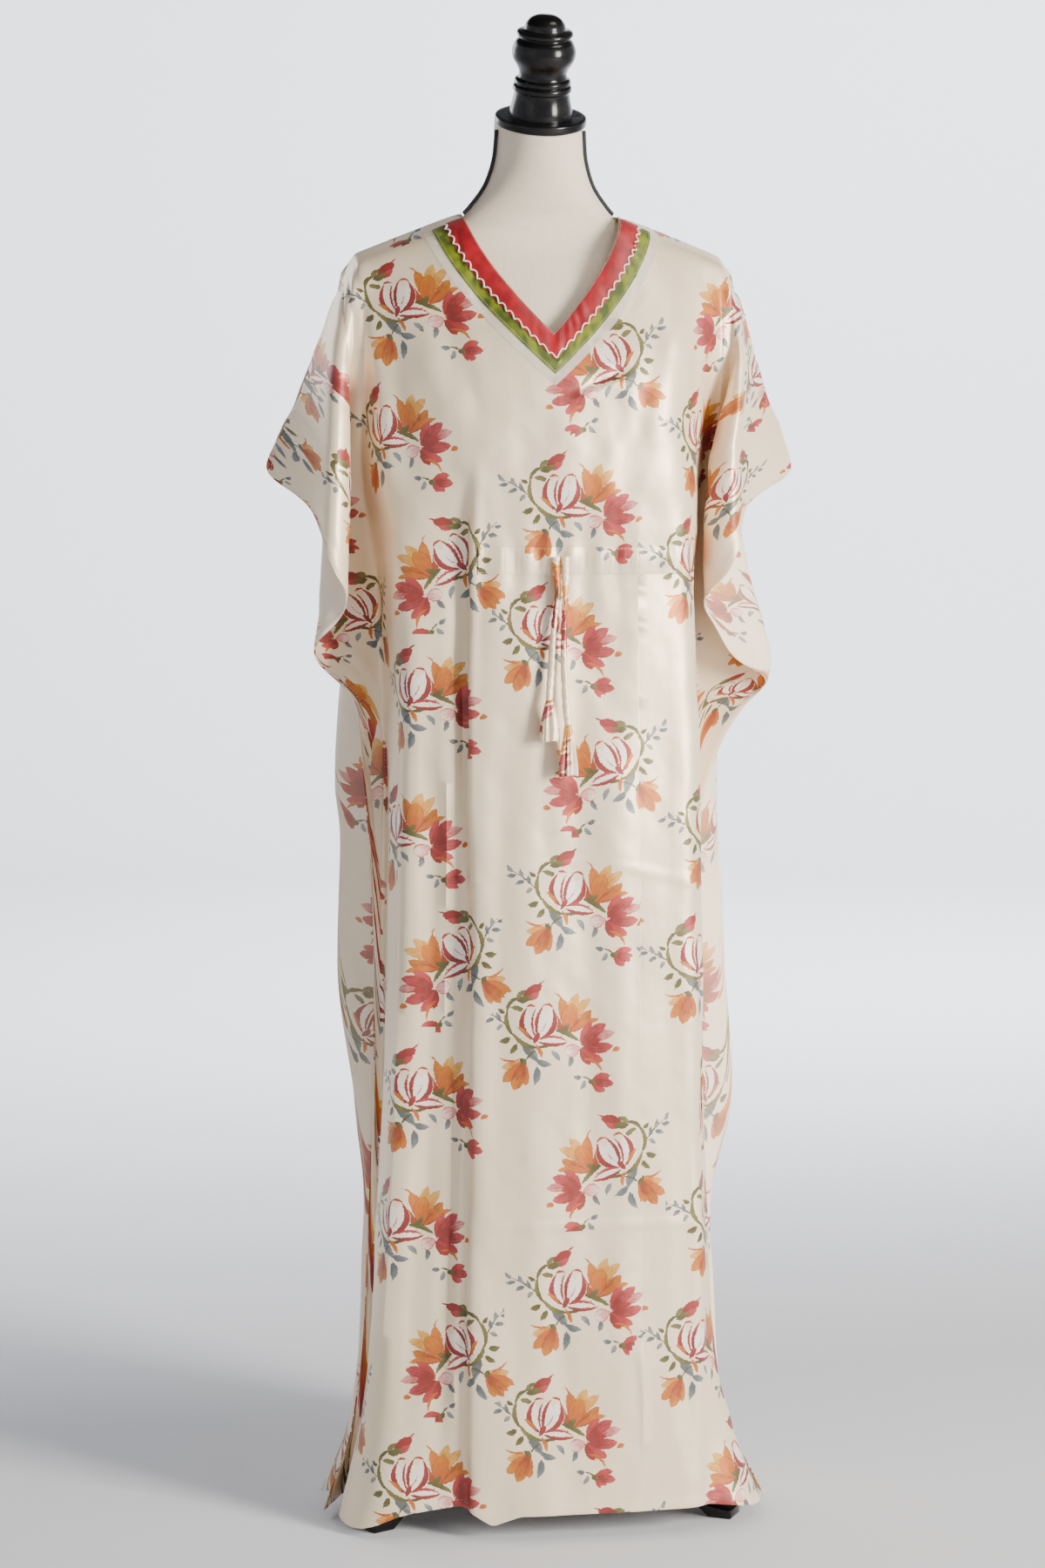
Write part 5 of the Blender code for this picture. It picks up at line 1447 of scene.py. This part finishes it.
def thread_finish(name, colour, rough, twist=1400.0):
    finish, tree = new_finish(name)
    place = put(tree, "ShaderNodeTexCoord").outputs["Object"]
    fuzz, slow = noise(tree, place, twist, 2.0), noise(tree, place, 90.0, 2.0)
    toned = blend_colour(tree, times(tree, fuzz, 0.45), (*colour, 1.0),
                         (colour[0] * 0.62, colour[1] * 0.60, colour[2] * 0.56, 1.0))
    toned = blend_colour(tree, times(tree, slow, 0.25), toned,
                         (colour[0] * 0.80, colour[1] * 0.78, colour[2] * 0.72, 1.0))
    spread = ranged(tree, fuzz, rough, min(rough + 0.2, 1.0))
    complete(tree, toned, spread, fuzz, 0.5, 0.0003, {"Sheen Weight": 0.15})
    return finish


# Each ribbon's second, brighter colour is its painted sheen
RED_RIBBON = ribbon("red_ribbon_satin", (0.24, 0.002, 0.006), (0.38, 0.005, 0.011), 0.36)
GREEN_RIBBON = ribbon("green_ribbon_satin", (0.050, 0.075, 0.002), (0.19, 0.225, 0.004), 0.40)
EDGE_TAPE = ribbon("sheer_edge_tape", (0.80, 0.75, 0.62), (0.88, 0.84, 0.74), 0.30, 0.38)
IVORY_THREAD = thread_finish("ivory_thread", (0.80, 0.73, 0.60), 0.55)
CREAM_CORD = thread_finish("cream_scallop_cord", (0.86, 0.79, 0.64), 0.50)
BLACK_CORD = thread_finish("black_twisted_cord", (0.014, 0.013, 0.013), 0.50)


def stitched(name, lines, long, gap, thin):
    sizes = {"Stitch length": long, "Gap": gap, "Thread radius": thin}
    return grow(name, STITCHES, lines, sizes, IVORY_THREAD)


# %% [markdown]
# ## The neckline
# Two ribbons follow the V: red at the opening's edge and green outside it, with a sheer
# tape beyond. The red one is eased round the point, so it puckers there, and it rolls
# over the edge. Each is a strip of grid points at set distances from the neckline, laid
# on the cloth and raised by its own layer.

# %% Neck ribbons
def strip_points(layer, distances, steps):
    half_way = np.linspace(0, 1, steps + 1)
    if layer == "front":
        share = 1 - (half_way ** 1.5) ** V_BOW
    else:
        share = np.sin((1 - half_way) * math.pi / 2)
    share = np.concatenate([share, share[-2::-1]])
    sides = np.array([-1.0] * steps + [0.0] + [1.0] * steps)
    points = np.empty((len(distances), len(share), 3))
    for i, d in enumerate(distances):
        half = NECK_HALF + (1.12 if layer == "front" else 1.02) * d
        x = sides * (half - 0.0006) * share
        z = neck_edge(layer, x, d) - 0.0012 - 0.0026 * share
        y = [laid(layer, a, b) for a, b in zip(x, z)]
        points[i] = np.stack([x, y, z], axis=1)
    return points


# Lift a strip until its span is clear of the cloth under it
def settle(layer, points, lift):
    sign = -1 if layer == "back" else 1
    for _ in range(3):
        n = facing(layer, points)
        for index in np.ndindex(points.shape[:2]):
            spot, normal = CLOTH_TREE[layer].find_nearest(Vector(points[index]))[:2]
            height = (Vector(points[index]) - spot).dot(normal) * sign
            if height < lift[index]:
                points[index] += n[index] * min(lift[index] - height, 0.003)
    return points


def neck_ribbon(name, layer, distances, steps, lift, thick, finish, ease=0.0, roll=0.0, node=None):
    points = strip_points(layer, distances, steps)
    t = np.linspace(0, 1, len(points))[:, None]
    run = run_along(points[0])[None]
    middle = run[0, steps]
    past = run - middle
    pucker = 0.18 * np.sin(run * 170 + 1.3 * np.sin(run * 41))
    pucker += np.sin(past * 420 + 1.7 * np.sin(run * 90)) * np.exp(-((past - 0.012) / 0.030) ** 2)
    pucker += (0.55 * np.sin(run * 310 + 2.1 * np.sin(run * 63))
               * np.exp(-((past - 0.060) / 0.030) ** 2))
    crown = np.sin(math.pi * np.clip(t, 0.05, 0.98))
    heights = lift + ease * (pucker * crown + 0.7 * np.sin(math.pi * t))
    heights = np.maximum(heights, lift * 0.8)
    points = settle(layer, points, heights)
    if roll:
        sign = 1 if layer == "front" else -1
        fold = np.array([[1.9, 0.5], [1.0, 0.9], [0.25, 0.5]])
        edge = points[0]
        up = unit(points[0] - points[1])
        curl = np.array([edge + up * roll * b * 0.9 + np.array([0, sign * roll * a, 0])
                         for a, b in fold])
        points = np.concatenate([curl, points])
    vertices, faces = shell(points, thick / 2, thick / 2, layer == "back")[:2]
    piece = make_piece(name, vertices, faces, [finish])
    down_run = run_along(points[:, steps // 2])
    cut = np.stack(np.broadcast_arrays(run, down_run[:, None]), axis=-1).reshape(-1, 2)
    store_uv(piece, "cloth", np.concatenate([cut, cut])[faces])
    belongs(piece, node)
    return points


BAND_ROWS = np.linspace(0, BAND, 13)
TRIM_ROWS = np.linspace(BAND - 0.0030, BAND + TRIM, 9)
TAPE_ROWS = np.linspace(BAND + TRIM - 0.0010, BAND + TRIM + 0.0085, 6)
for layer, steps, end in (("front", 96, ""), ("back", 48, "_back")):
    neck_ribbon("sheer_tape" + end, layer, TAPE_ROWS, steps, 0.0004, 0.0003, EDGE_TAPE)
    trim = neck_ribbon("green_ribbon" + end, layer, TRIM_ROWS, steps, 0.0008, 0.0006, GREEN_RIBBON,
                       0.0002, node="neck_trim" + end)
    band = neck_ribbon("red_band" + end, layer, BAND_ROWS, steps, 0.0015, 0.0006, RED_RIBBON,
                       0.0008, 0.0011, node="neck_band" + end)
    n = facing(layer, band)
    line = band[-1] + n[-1] * 0.0007
    inward = unit(band[-4] - band[-1])
    cord = grow("scalloped_cord" + end, SCALLOPS, [line], {
        "Scallop width": 0.0126, "Scallop rise": 0.0038, "Cord radius": 0.00085},
        CREAM_CORD, [inward])
    outer = facing(layer, trim)
    seams = [trim[-2] + outer[-2] * 0.00045, band[3] + n[3] * 0.00045]
    sewn = stitched("ribbon_stitches" + end, seams, 0.0020, 0.0008, 0.00016)
    for piece in (cord, sewn):
        belongs(piece)

# %% [markdown]
# ## Hems and side seams
# The free edges are turned twice and run down by machine; the two inner seams join the
# panels from the underarm to the hem. The stitch lines are found on the grid: a hem's is
# a fixed distance in from the edge of the cut, a side seam's is the column where a wing
# begins.

# %% Sewn lines on the panels
def hem_lines(layer, inset, lift):
    across_cut, down_cut = FLAT[layer]
    grid = FACE[layer] + facing(layer, PANEL[layer]) * lift
    rows, cols = down_cut.shape
    lines = []
    for edge in ("left", "right"):
        if edge == "left":
            part = across_cut - across_cut[:, :1]
        else:
            part = (across_cut[:, -1:] - across_cut)[:, ::-1]
        place = np.array([np.interp(inset, part[r, :12], np.arange(12)) for r in range(rows)])
        place = place if edge == "left" else cols - 1 - place
        keep = np.arange(2, rows - 1.2, 0.5)
        lines.append(between(grid, keep, np.interp(keep, np.arange(rows), place)))
    low = down_cut[-1:] - down_cut
    place = np.array([np.interp(inset, low[::-1, c][:6], np.arange(6)) for c in range(cols)])
    keep = np.arange(1.2, cols - 1.2, 0.5)
    lines.append(between(grid, rows - 1 - np.interp(keep, np.arange(cols), place), keep))
    return lines


def seam_lines(layer, lift):
    arm = 10 if layer == "front" else 8
    begin = (arm - 2) / (NETS[layer].shape[1] - 1)
    grid = FACE[layer] + facing(layer, PANEL[layer]) * lift
    u = COLUMN_U[layer]
    rows = np.arange(22, grid.shape[0] - 1.5, 0.5)
    lines = []
    for place in (begin + 0.004, 1 - begin - 0.004):
        col = float(np.interp(place, u, np.arange(len(u))))
        lines.append(between(grid, rows, np.full_like(rows, col)))
    return lines


for layer in ("front", "back"):
    hems = stitched("hem_stitches_" + layer, hem_lines(layer, 0.0066, 0.0003),
                    0.0028, 0.0012, 0.00017)
    seams = stitched("seam_stitches_" + layer, seam_lines(layer, 0.0001), 0.0026, 0.0012, 0.00016)
    for piece in (hems, seams):
        belongs(piece)

# %% [markdown]
# ## The waist casing
# A strip of the same print is sewn across the front as a tunnel for the drawstring, which
# comes out of it at the middle. Pulling the string gathers the cloth, so the strip is
# puffed between its two seams and puckered by uneven small ridges. Its points are taken
# from the panel's own grid, made finer, so that strip and panel fit exactly.

# %% Casing strip
def casing_window():
    grid = FACE["front"]
    inside = (grid[..., 2] < CASING_TOP + 0.001) & (grid[..., 2] > CASING_LOW - 0.001)
    inside &= (grid[..., 0] > -0.080) & (grid[..., 0] < 0.136) & (grid[..., 1] < -0.105)
    middle = grid.shape[1] // 2
    z = grid[:, middle, 2][::-1]
    row = np.interp([CASING_TOP, CASING_LOW], z, np.arange(len(z))[::-1])
    flat = np.nonzero(inside[int(row.mean())])[0]
    return row, (flat[0], flat[-1])


CASING_ROWS, CASING_COLS = casing_window()


def casing_strip():
    t = np.linspace(0, 1, 19)[:, None]
    col = np.linspace(CASING_COLS[0], CASING_COLS[1], 4 * (CASING_COLS[1] - CASING_COLS[0]))[None]
    row = CASING_ROWS[0] + (CASING_ROWS[1] - CASING_ROWS[0]) * t
    row, col = np.broadcast_arrays(row, col)
    base = between(FACE["front"], row, col)
    cut = np.stack([between(part, row, col) for part in FLAT["front"]], axis=-1)
    a = cut[..., 0]
    ridges = sum(share * np.exp(-((a - place) / 0.0040) ** 2) for place, share in GATHERS)
    fine = 0.35 * np.sin(a * 900 + 2.3 * np.sin(a * 210)) + 0.25 * np.sin(a * 1500 + t * 3)
    arch = np.sin(math.pi * t) ** 0.8
    lift = 0.0006 + arch * (0.0014 + 0.0006 * ridges + 0.00022 * fine)
    lift = lift + 0.0003 * np.clip(np.abs(ridges), 0, 1) * (1 - arch)
    lift = np.maximum(lift, 0.0005)
    return base + normals(base) * lift[..., None], cut


casing_points, casing_cut = casing_strip()
vertices, faces, inner = shell(casing_points, 0.0003, 0.0003, False)
cut = np.concatenate([casing_cut.reshape(-1, 2)] * 2)
corner_cut = cut[faces]
casing_uv, under = lay_print(corner_cut, corner_cut.mean(1), sprig_places(SPRIG_START["front"]))
casing = make_piece("casing_strip", vertices, faces, [SATIN["plain"], *PRINTED], under)
store_uv(casing, "cloth", corner_cut)
store_uv(casing, "sprig", casing_uv)
belongs(casing, "waist_casing")
casing_out = casing_points + normals(casing_points) * 0.0004
hole = [(0.0048 + 0.0017 * math.cos(a), 1.012 + 0.0065 * math.sin(a))
        for a in np.linspace(0, 2 * math.pi, 40)]
hole = np.array([(x, laid("front", x, z) - 0.0026, z) for x, z in hole])
casing_sewn = stitched("casing_stitches", [casing_out[1, 1:-1], casing_out[-2, 1:-1]],
                       0.0024, 0.0011, 0.00018)
hole_sewn = stitched("buttonhole_stitches", [hole], 0.0011, 0.0001, 0.00034)
for piece in (casing_sewn, hole_sewn):
    belongs(piece)

# %% [markdown]
# ## The drawstring's tails and tassels
# The string is a narrow tube of the printed satin, turned inside out, so it is slightly
# flat, twists as it hangs, and wrinkles crosswise. Its ends are sewn into small cones
# gathered from a square of the same cloth, open below. Both are swept along the routes
# that the CAD solids follow.

# %% Drawstring tubes
TAILS = {
    "drawstring_left": thousandths(
        (0, -134.7, 1014), (0.5, -135.7, 1000), (2, -137.5, 978), (-2, -140, 950),
        (-5, -143, 920), (-7, -147, 892), (-9, -151, 868)),
    "drawstring_right": thousandths(
        (9.5, -134.8, 1014), (10, -135.8, 1000), (9.5, -137.5, 975), (8, -140, 945),
        (7, -143.5, 910), (8, -149, 870), (10, -153, 843)),
}
TAIL_RADIUS = 0.0036


def swept(route, profile_radius, sides, frame_turn):
    steps = unit(np.gradient(route, axis=0))
    side = unit(np.cross(steps, np.array([0.0, -1.0, 0.0])))
    over = np.cross(side, steps)
    a = round_turn(sides)[None]
    wide, thin = profile_radius(np.linspace(0, 1, len(route))[:, None], a)
    x, y = wide * np.cos(a), thin * np.sin(a)
    c, s = np.cos(frame_turn)[:, None], np.sin(frame_turn)[:, None]
    x, y = x * c - y * s, x * s + y * c
    return route[:, None] + x[..., None] * side[:, None] + y[..., None] * over[:, None]


# Cloth coordinates for a tube: round it and along it, with the last side closed
def tube_cut(points):
    ring = np.linalg.norm(np.roll(points, -1, axis=1) - points, axis=-1)
    run = np.concatenate([np.zeros((len(points), 1)), np.cumsum(ring, axis=1)], axis=1)
    return np.stack(np.broadcast_arrays(run, run_along(points.mean(1))[:, None]), axis=-1)


def tube_corners(cut):
    a, b, d, e = cut[:-1, :-1], cut[:-1, 1:], cut[1:, 1:], cut[1:, :-1]
    return np.stack([a, b, d, e], axis=2).reshape(-1, 4, 2)


# A closed tube of points, printed on from a place in the sprig
def printed_tube(name, points, start):
    rings, sides = points.shape[:2]
    faces = [f[::-1] for f in ring_faces(rings, sides)]
    ends = [tuple(range(sides)), tuple((rings - 1) * sides + i for i in range(sides))[::-1]]
    piece = make_piece(name, points.reshape(-1, 3), faces + ends, [SATIN["sprig"]])
    cut = tube_corners(tube_cut(points))[:, [3, 2, 1, 0]].reshape(-1, 2)
    cut = np.concatenate([cut, np.zeros((2 * sides, 2))])
    store_uv(piece, "cloth", cut)
    store_uv(piece, "sprig", np.array(start) + cut * (1, -1))
    return piece


def drawstring(name, start, seed):
    rng = np.random.default_rng(seed)
    route = down(np.array(TAILS[name]), np.linspace(0, 6, 130))
    pinches = rng.uniform(0.03, 0.97, 11)
    depths = rng.uniform(0.08, 0.20, 11)

    def radius(t, a):
        pinch = sum(d * np.exp(-((t - p) / 0.012) ** 2) for p, d in zip(pinches, depths))
        ripple = 0.05 * np.sin(t * 95 + 2 * a) + 0.04 * np.sin(t * 143 - 3 * a)
        knotted = 0.22 * np.exp(-(t / 0.30) ** 4)
        wide = TAIL_RADIUS * (1.02 + knotted - pinch * 0.6 + ripple)
        thin = TAIL_RADIUS * (0.84 + knotted - 0.8 * pinch + ripple)
        return wide, thin

    turn = np.cumsum(rng.normal(0.0, 0.06, 130)) + np.linspace(0, rng.uniform(2.2, 3.6), 130)
    points = swept(route, radius, 20, turn)
    return printed_tube(name + "_tube", points, start), route


# %% Tassels
TASSEL_SQUASH = 0.82


def tassel(name, top, height, width, start, seed):
    rng = np.random.default_rng(seed)
    sides, rings = 72, 26
    t = np.linspace(0, 1, rings)[:, None]
    a = round_turn(sides)[None]
    base = np.interp(t, [0, 0.03, 0.10, 0.5, 0.93, 1.0],
                     [0.0030, 0.0040, 0.0046, 0.0070, 0.0094, 0.0092]) * width / 0.010
    folds = (0.20 * np.sin(5 * a + rng.uniform(0, 6) + 0.5 * t)
             + 0.10 * np.sin(9 * a + rng.uniform(0, 6) - t)
             + 0.06 * np.sin(14 * a + rng.uniform(0, 6)))
    radius = np.minimum(base * (1 + folds * np.clip(t * 2.2, 0.15, 1.0)), width * 1.04)
    fall = -height * (t + 0.020 * t * np.sin(2 * a + 0.8))

    def skin_of(r, h):
        return np.stack([r * np.cos(a), TASSEL_SQUASH * r * np.sin(a),
                         np.broadcast_to(h, r.shape)], -1)

    outer = skin_of(radius, fall)
    inner = skin_of(np.maximum(radius - 0.0007, 0.0004), np.minimum(fall, -0.0015))
    points = np.concatenate([outer, inner[::-1]]) + np.array(top)
    piece = printed_tube(name + "_cone", points, start)
    belongs(piece, name)
    return piece


PRINT_ON_TAILS = {"drawstring_left": (0.016, 0.040), "drawstring_right": (0.034, 0.062)}
PRINT_ON_TASSELS = {"tassel_left": (0.030, 0.012), "tassel_right": (0.012, 0.036)}
for side, height, seed in (("left", 0.042, 3), ("right", 0.052, 8)):
    string, tail = "drawstring_" + side, "tassel_" + side
    tube, route = drawstring(string, PRINT_ON_TAILS[string], seed)
    belongs(tube, string)
    top = route[-1] + np.array([0.0, -0.002, 0.0008])
    cone = tassel(tail, top, height, 0.010, PRINT_ON_TASSELS[tail], seed)
    ring = np.array([[0.0043 * math.cos(b), 0.0040 * math.sin(b), -0.0045]
                     for b in np.linspace(0, 2 * math.pi, 24)])
    tied = stitched(tail + "_stitches", [top + ring], 0.0016, 0.0002, 0.00032)
    belongs(tied)
    length = float(np.linalg.norm(np.diff(route, axis=0), axis=1).sum())
    print(string, "length", round(length, 4), "m")

# %% [markdown]
# ## The dress form and its stand
# The form is covered in unbleached linen: a plain weave with thick and thin yarns. Two
# wave textures at right angles give the yarns, and drawn-out noise makes them uneven. The
# stand is turned wood under black lacquer, glossy with a little wear. Its cap and finial are
# profiles spun about an axis, finer than the CAD's, so that their edges catch the light; its
# legs are bevelled, and its pole and hub keep the CAD's shape under the same lacquer.

# %% Linen and lacquer
def linen():
    finish, tree = new_finish("natural_linen")
    cloth = uv_in_mm(tree, "cloth")
    warp, weft = (put(tree, "ShaderNodeTexWave", {
        "Vector": cloth, "Scale": 0.42, "Distortion": 1.6, "Detail": 2.0, "Detail Scale": 0.6},
        bands_direction=way).outputs[1] for way in "XY")
    tall = cloth_grain(tree, cloth, (0.55, 0.030, 1.0))
    wide = cloth_grain(tree, cloth, (0.030, 0.55, 1.0))
    blotch = cloth_grain(tree, cloth, (0.020, 0.020, 1.0))
    yarn = times(tree, plus(tree, warp, weft), 0.5)
    slub = times(tree, plus(tree, tall, wide), 0.5)
    colour = blend_colour(tree, times(tree, slub, 0.75), (0.86, 0.74, 0.58, 1.0),
                          (0.58, 0.47, 0.34, 1.0))
    colour = blend_colour(tree, times(tree, yarn, 0.20), colour, (0.89, 0.79, 0.65, 1.0))
    colour = blend_colour(tree, times(tree, blotch, 0.14), colour, (0.60, 0.52, 0.42, 1.0))
    rough = ranged(tree, slub, 0.78, 0.95)
    complete(tree, colour, rough, plus(tree, times(tree, yarn, 0.5), slub), 0.6, 0.0006,
             {"Sheen Weight": 0.12})
    return finish


def lacquer():
    finish, tree = new_finish("black_lacquer")
    place = put(tree, "ShaderNodeTexCoord").outputs["Object"]
    grain_place = put(tree, "ShaderNodeMapping", {0: place, 3: (260.0, 260.0, 16.0)}).outputs[0]
    grain = noise(tree, grain_place, 1.0, 4.0)
    worn = ranged(tree, noise(tree, place, 38.0, 3.0), 0.0, 1.0, 0.55, 0.75)
    colour = blend_colour(tree, times(tree, grain, 0.5), (0.003, 0.003, 0.003, 1.0),
                          (0.008, 0.007, 0.0065, 1.0))
    colour = blend_colour(tree, times(tree, worn, 0.25), colour, (0.014, 0.012, 0.011, 1.0))
    rough = ranged(tree, worn, 0.20, 0.34)
    complete(tree, colour, rough, grain, 0.25, 0.0004, {
        "Coat Weight": 0.04, "Coat Roughness": 0.20, "Specular IOR Level": 0.24})
    return finish


LINEN, LACQUER = linen(), lacquer()

# %% Form body
skin_points = SKIN.reshape(-1, 3)
skin_faces = ring_faces(FORM_RINGS, FORM_SIDES)
run = tube_cut(SKIN)
girth = run[60, -1, 0]
round_it = np.broadcast_to(np.linspace(0, girth, FORM_SIDES + 1), run.shape[:2])
run = np.stack([round_it, run[..., 1]], axis=-1)
skin_corners = tube_corners(run)
ends = [tuple(range(FORM_SIDES))[::-1],
        tuple((FORM_RINGS - 1) * FORM_SIDES + i for i in range(FORM_SIDES))]
form = make_piece("form_torso", skin_points, skin_faces + ends, [LINEN])
flat_ends = np.concatenate([skin_points[list(e), :2] for e in ends])
store_uv(form, "cloth", np.concatenate([skin_corners.reshape(-1, 2), flat_ends]))
belongs(form, "torso")
print("form body faces", len(form.data.polygons))


# %% Turned wood
def turned(name, profile, steps, lean_back):
    vertices, faces, rings = [], [], []
    for r, h in profile:
        if r < 1e-6:
            rings.append([len(vertices)])
            vertices.append((0, 0, h))
        else:
            rings.append(list(range(len(vertices), len(vertices) + steps)))
            vertices += [(r * math.cos(a), r * math.sin(a), h)
                         for a in round_turn(steps)]
    for up, low in zip(rings[:-1], rings[1:]):
        for i in range(steps):
            j = (i + 1) % steps
            if len(up) == 1:
                faces.append((up[0], low[i], low[j]))
            elif len(low) == 1:
                faces.append((up[j], up[i], low[0]))
            else:
                faces.append((up[i], low[i], low[j], up[j]))
    place = np.array(vertices)
    if lean_back is not None:
        matrix = Matrix.Translation(lean_back) @ Matrix.Rotation(CAP_TILT, 4, "X")
        place = np.array([list(matrix @ Vector(v)) for v in vertices])
    return make_piece(name, place, faces, [LACQUER], sharp=50.0)


# Corners of a profile rounded by cutting them twice
def eased(profile, times=2):
    line = np.array(profile, float)
    for _ in range(times):
        ahead = line[:-1] * 0.80 + line[1:] * 0.20
        later = line[:-1] * 0.20 + line[1:] * 0.80
        line = np.concatenate([line[:1], np.stack([ahead, later], 1).reshape(-1, 2), line[-1:]])
    return [tuple(p) for p in line]


cap_profile = eased([
    (0.030, CAP_HEIGHT), (CAP_RADIUS - 0.0012, CAP_HEIGHT), (CAP_RADIUS, CAP_HEIGHT - 0.0012),
    (CAP_RADIUS, 0.0012), (CAP_RADIUS - 0.0012, 0.0), (0.040, 0.0)])
cap_piece = turned("turned_cap", [(0.0, CAP_HEIGHT)] + cap_profile + [(0.0, 0.0)], 96,
                   Vector(CAP_CENTRE))
belongs(cap_piece, "neck_cap")
above = Matrix.Rotation(CAP_TILT, 4, "X") @ Vector((0, 0, CAP_HEIGHT + 0.0003))
finial_piece = turned("turned_finial", eased(FINIAL) + [(0.0, 0.0)], 80, Vector(CAP_CENTRE) + above)
belongs(finial_piece, "finial")
for node in ("pole", "hub"):
    for material_slot in bpy.data.objects[node].material_slots:
        material_slot.material = LACQUER

# %% Legs
# Out from the pole, height, width, half depth (0: the foot, which stands on the floor)
LEG_STATIONS = thousandths(
    (29.3, 212, 22, 16), (70, 200, 22, 16), (115, 156, 21, 15), (158, 86, 20, 14),
    (180, 36, 20, 13), (200, 13.5, 21, 0), (226, 10, 21, 0))


def leg(node, degrees):
    a = math.radians(degrees)
    out = np.array([math.sin(a), -math.cos(a), 0])
    wide = np.array([math.cos(a), math.sin(a), 0])
    rings = []
    for r, z, w, d in LEG_STATIONS:
        foot = d == 0.0
        upper, lower = (z, 0.0) if foot else (z + d, z - d)
        lower = max(lower, 0.0)
        inward = 0.0 if foot or r < 0.03 else 0.006
        corners = ((-w, lower, -inward), (w, lower, -inward), (w, upper, inward),
                   (-w, upper, inward))
        rings.append([out * (r + back) + wide * (dw / 2 * 1.4) + np.array([0, 0, h])
                      for dw, h, back in corners])
    rings = np.array(rings)
    faces = [f[::-1] for f in ring_faces(len(rings), 4)]
    last = 4 * (len(rings) - 1)
    faces += [(0, 1, 2, 3), (last + 3, last + 2, last + 1, last)]
    piece = make_piece(node + "_bevelled", rings.reshape(-1, 3), faces, [LACQUER], sharp=0)
    mesh = bmesh.new()
    mesh.from_mesh(piece.data)
    bmesh.ops.recalc_face_normals(mesh, faces=mesh.faces)
    long_edges = [e for e in mesh.edges if e.calc_face_angle(0) > math.radians(40)]
    bmesh.ops.bevel(mesh, geom=long_edges, offset=0.0022, segments=3, profile=0.5,
                    affect="EDGES", clamp_overlap=True)
    mesh.to_mesh(piece.data)
    mesh.free()
    piece.data.shade_smooth()
    piece.data.set_sharp_from_angle(angle=math.radians(35))
    belongs(piece, node)


for node, degrees in (("leg_left", -60), ("leg_right", 60), ("leg_back", 180)):
    leg(node, degrees)

# %% [markdown]
# ## Twisted cord on the neck seams
# A black three-strand cord covers the seam on each side of the neck. Geometry Nodes wind
# three strands round one line: each strand's place is a sine and a cosine of the length
# run, a third of a turn apart.

# %% Neck cords
def rope_line(side):
    route = [(side * x, y, z) for z, x, y in (
        (1.4545, 0.0486, -0.020), (1.440, 0.0490, -0.018), (1.424, 0.0510, -0.016),
        (1.408, 0.0552, -0.013), (1.394, 0.0615, -0.010), (1.384, 0.0680, -0.008),
        (1.377, 0.0750, -0.007), (1.372, 0.0815, -0.006))]
    smooth = down(np.array(route), np.linspace(0, len(route) - 1, 60))
    line = []
    for place in smooth:
        spot, normal = FORM.find_nearest(Vector(place))[:2]
        line.append(list(spot + normal * (ROPE + 0.0002)))
    return np.array(line)


for name, side in (("neck_rope_left", -1), ("neck_rope_right", 1)):
    wound = grow(name + "_strands", STRANDS, [rope_line(side)], {"Strand radius": 0.00118,
                 "Twist length": 0.0100, "Offset": 0.00112}, BLACK_CORD)
    belongs(wound, name)
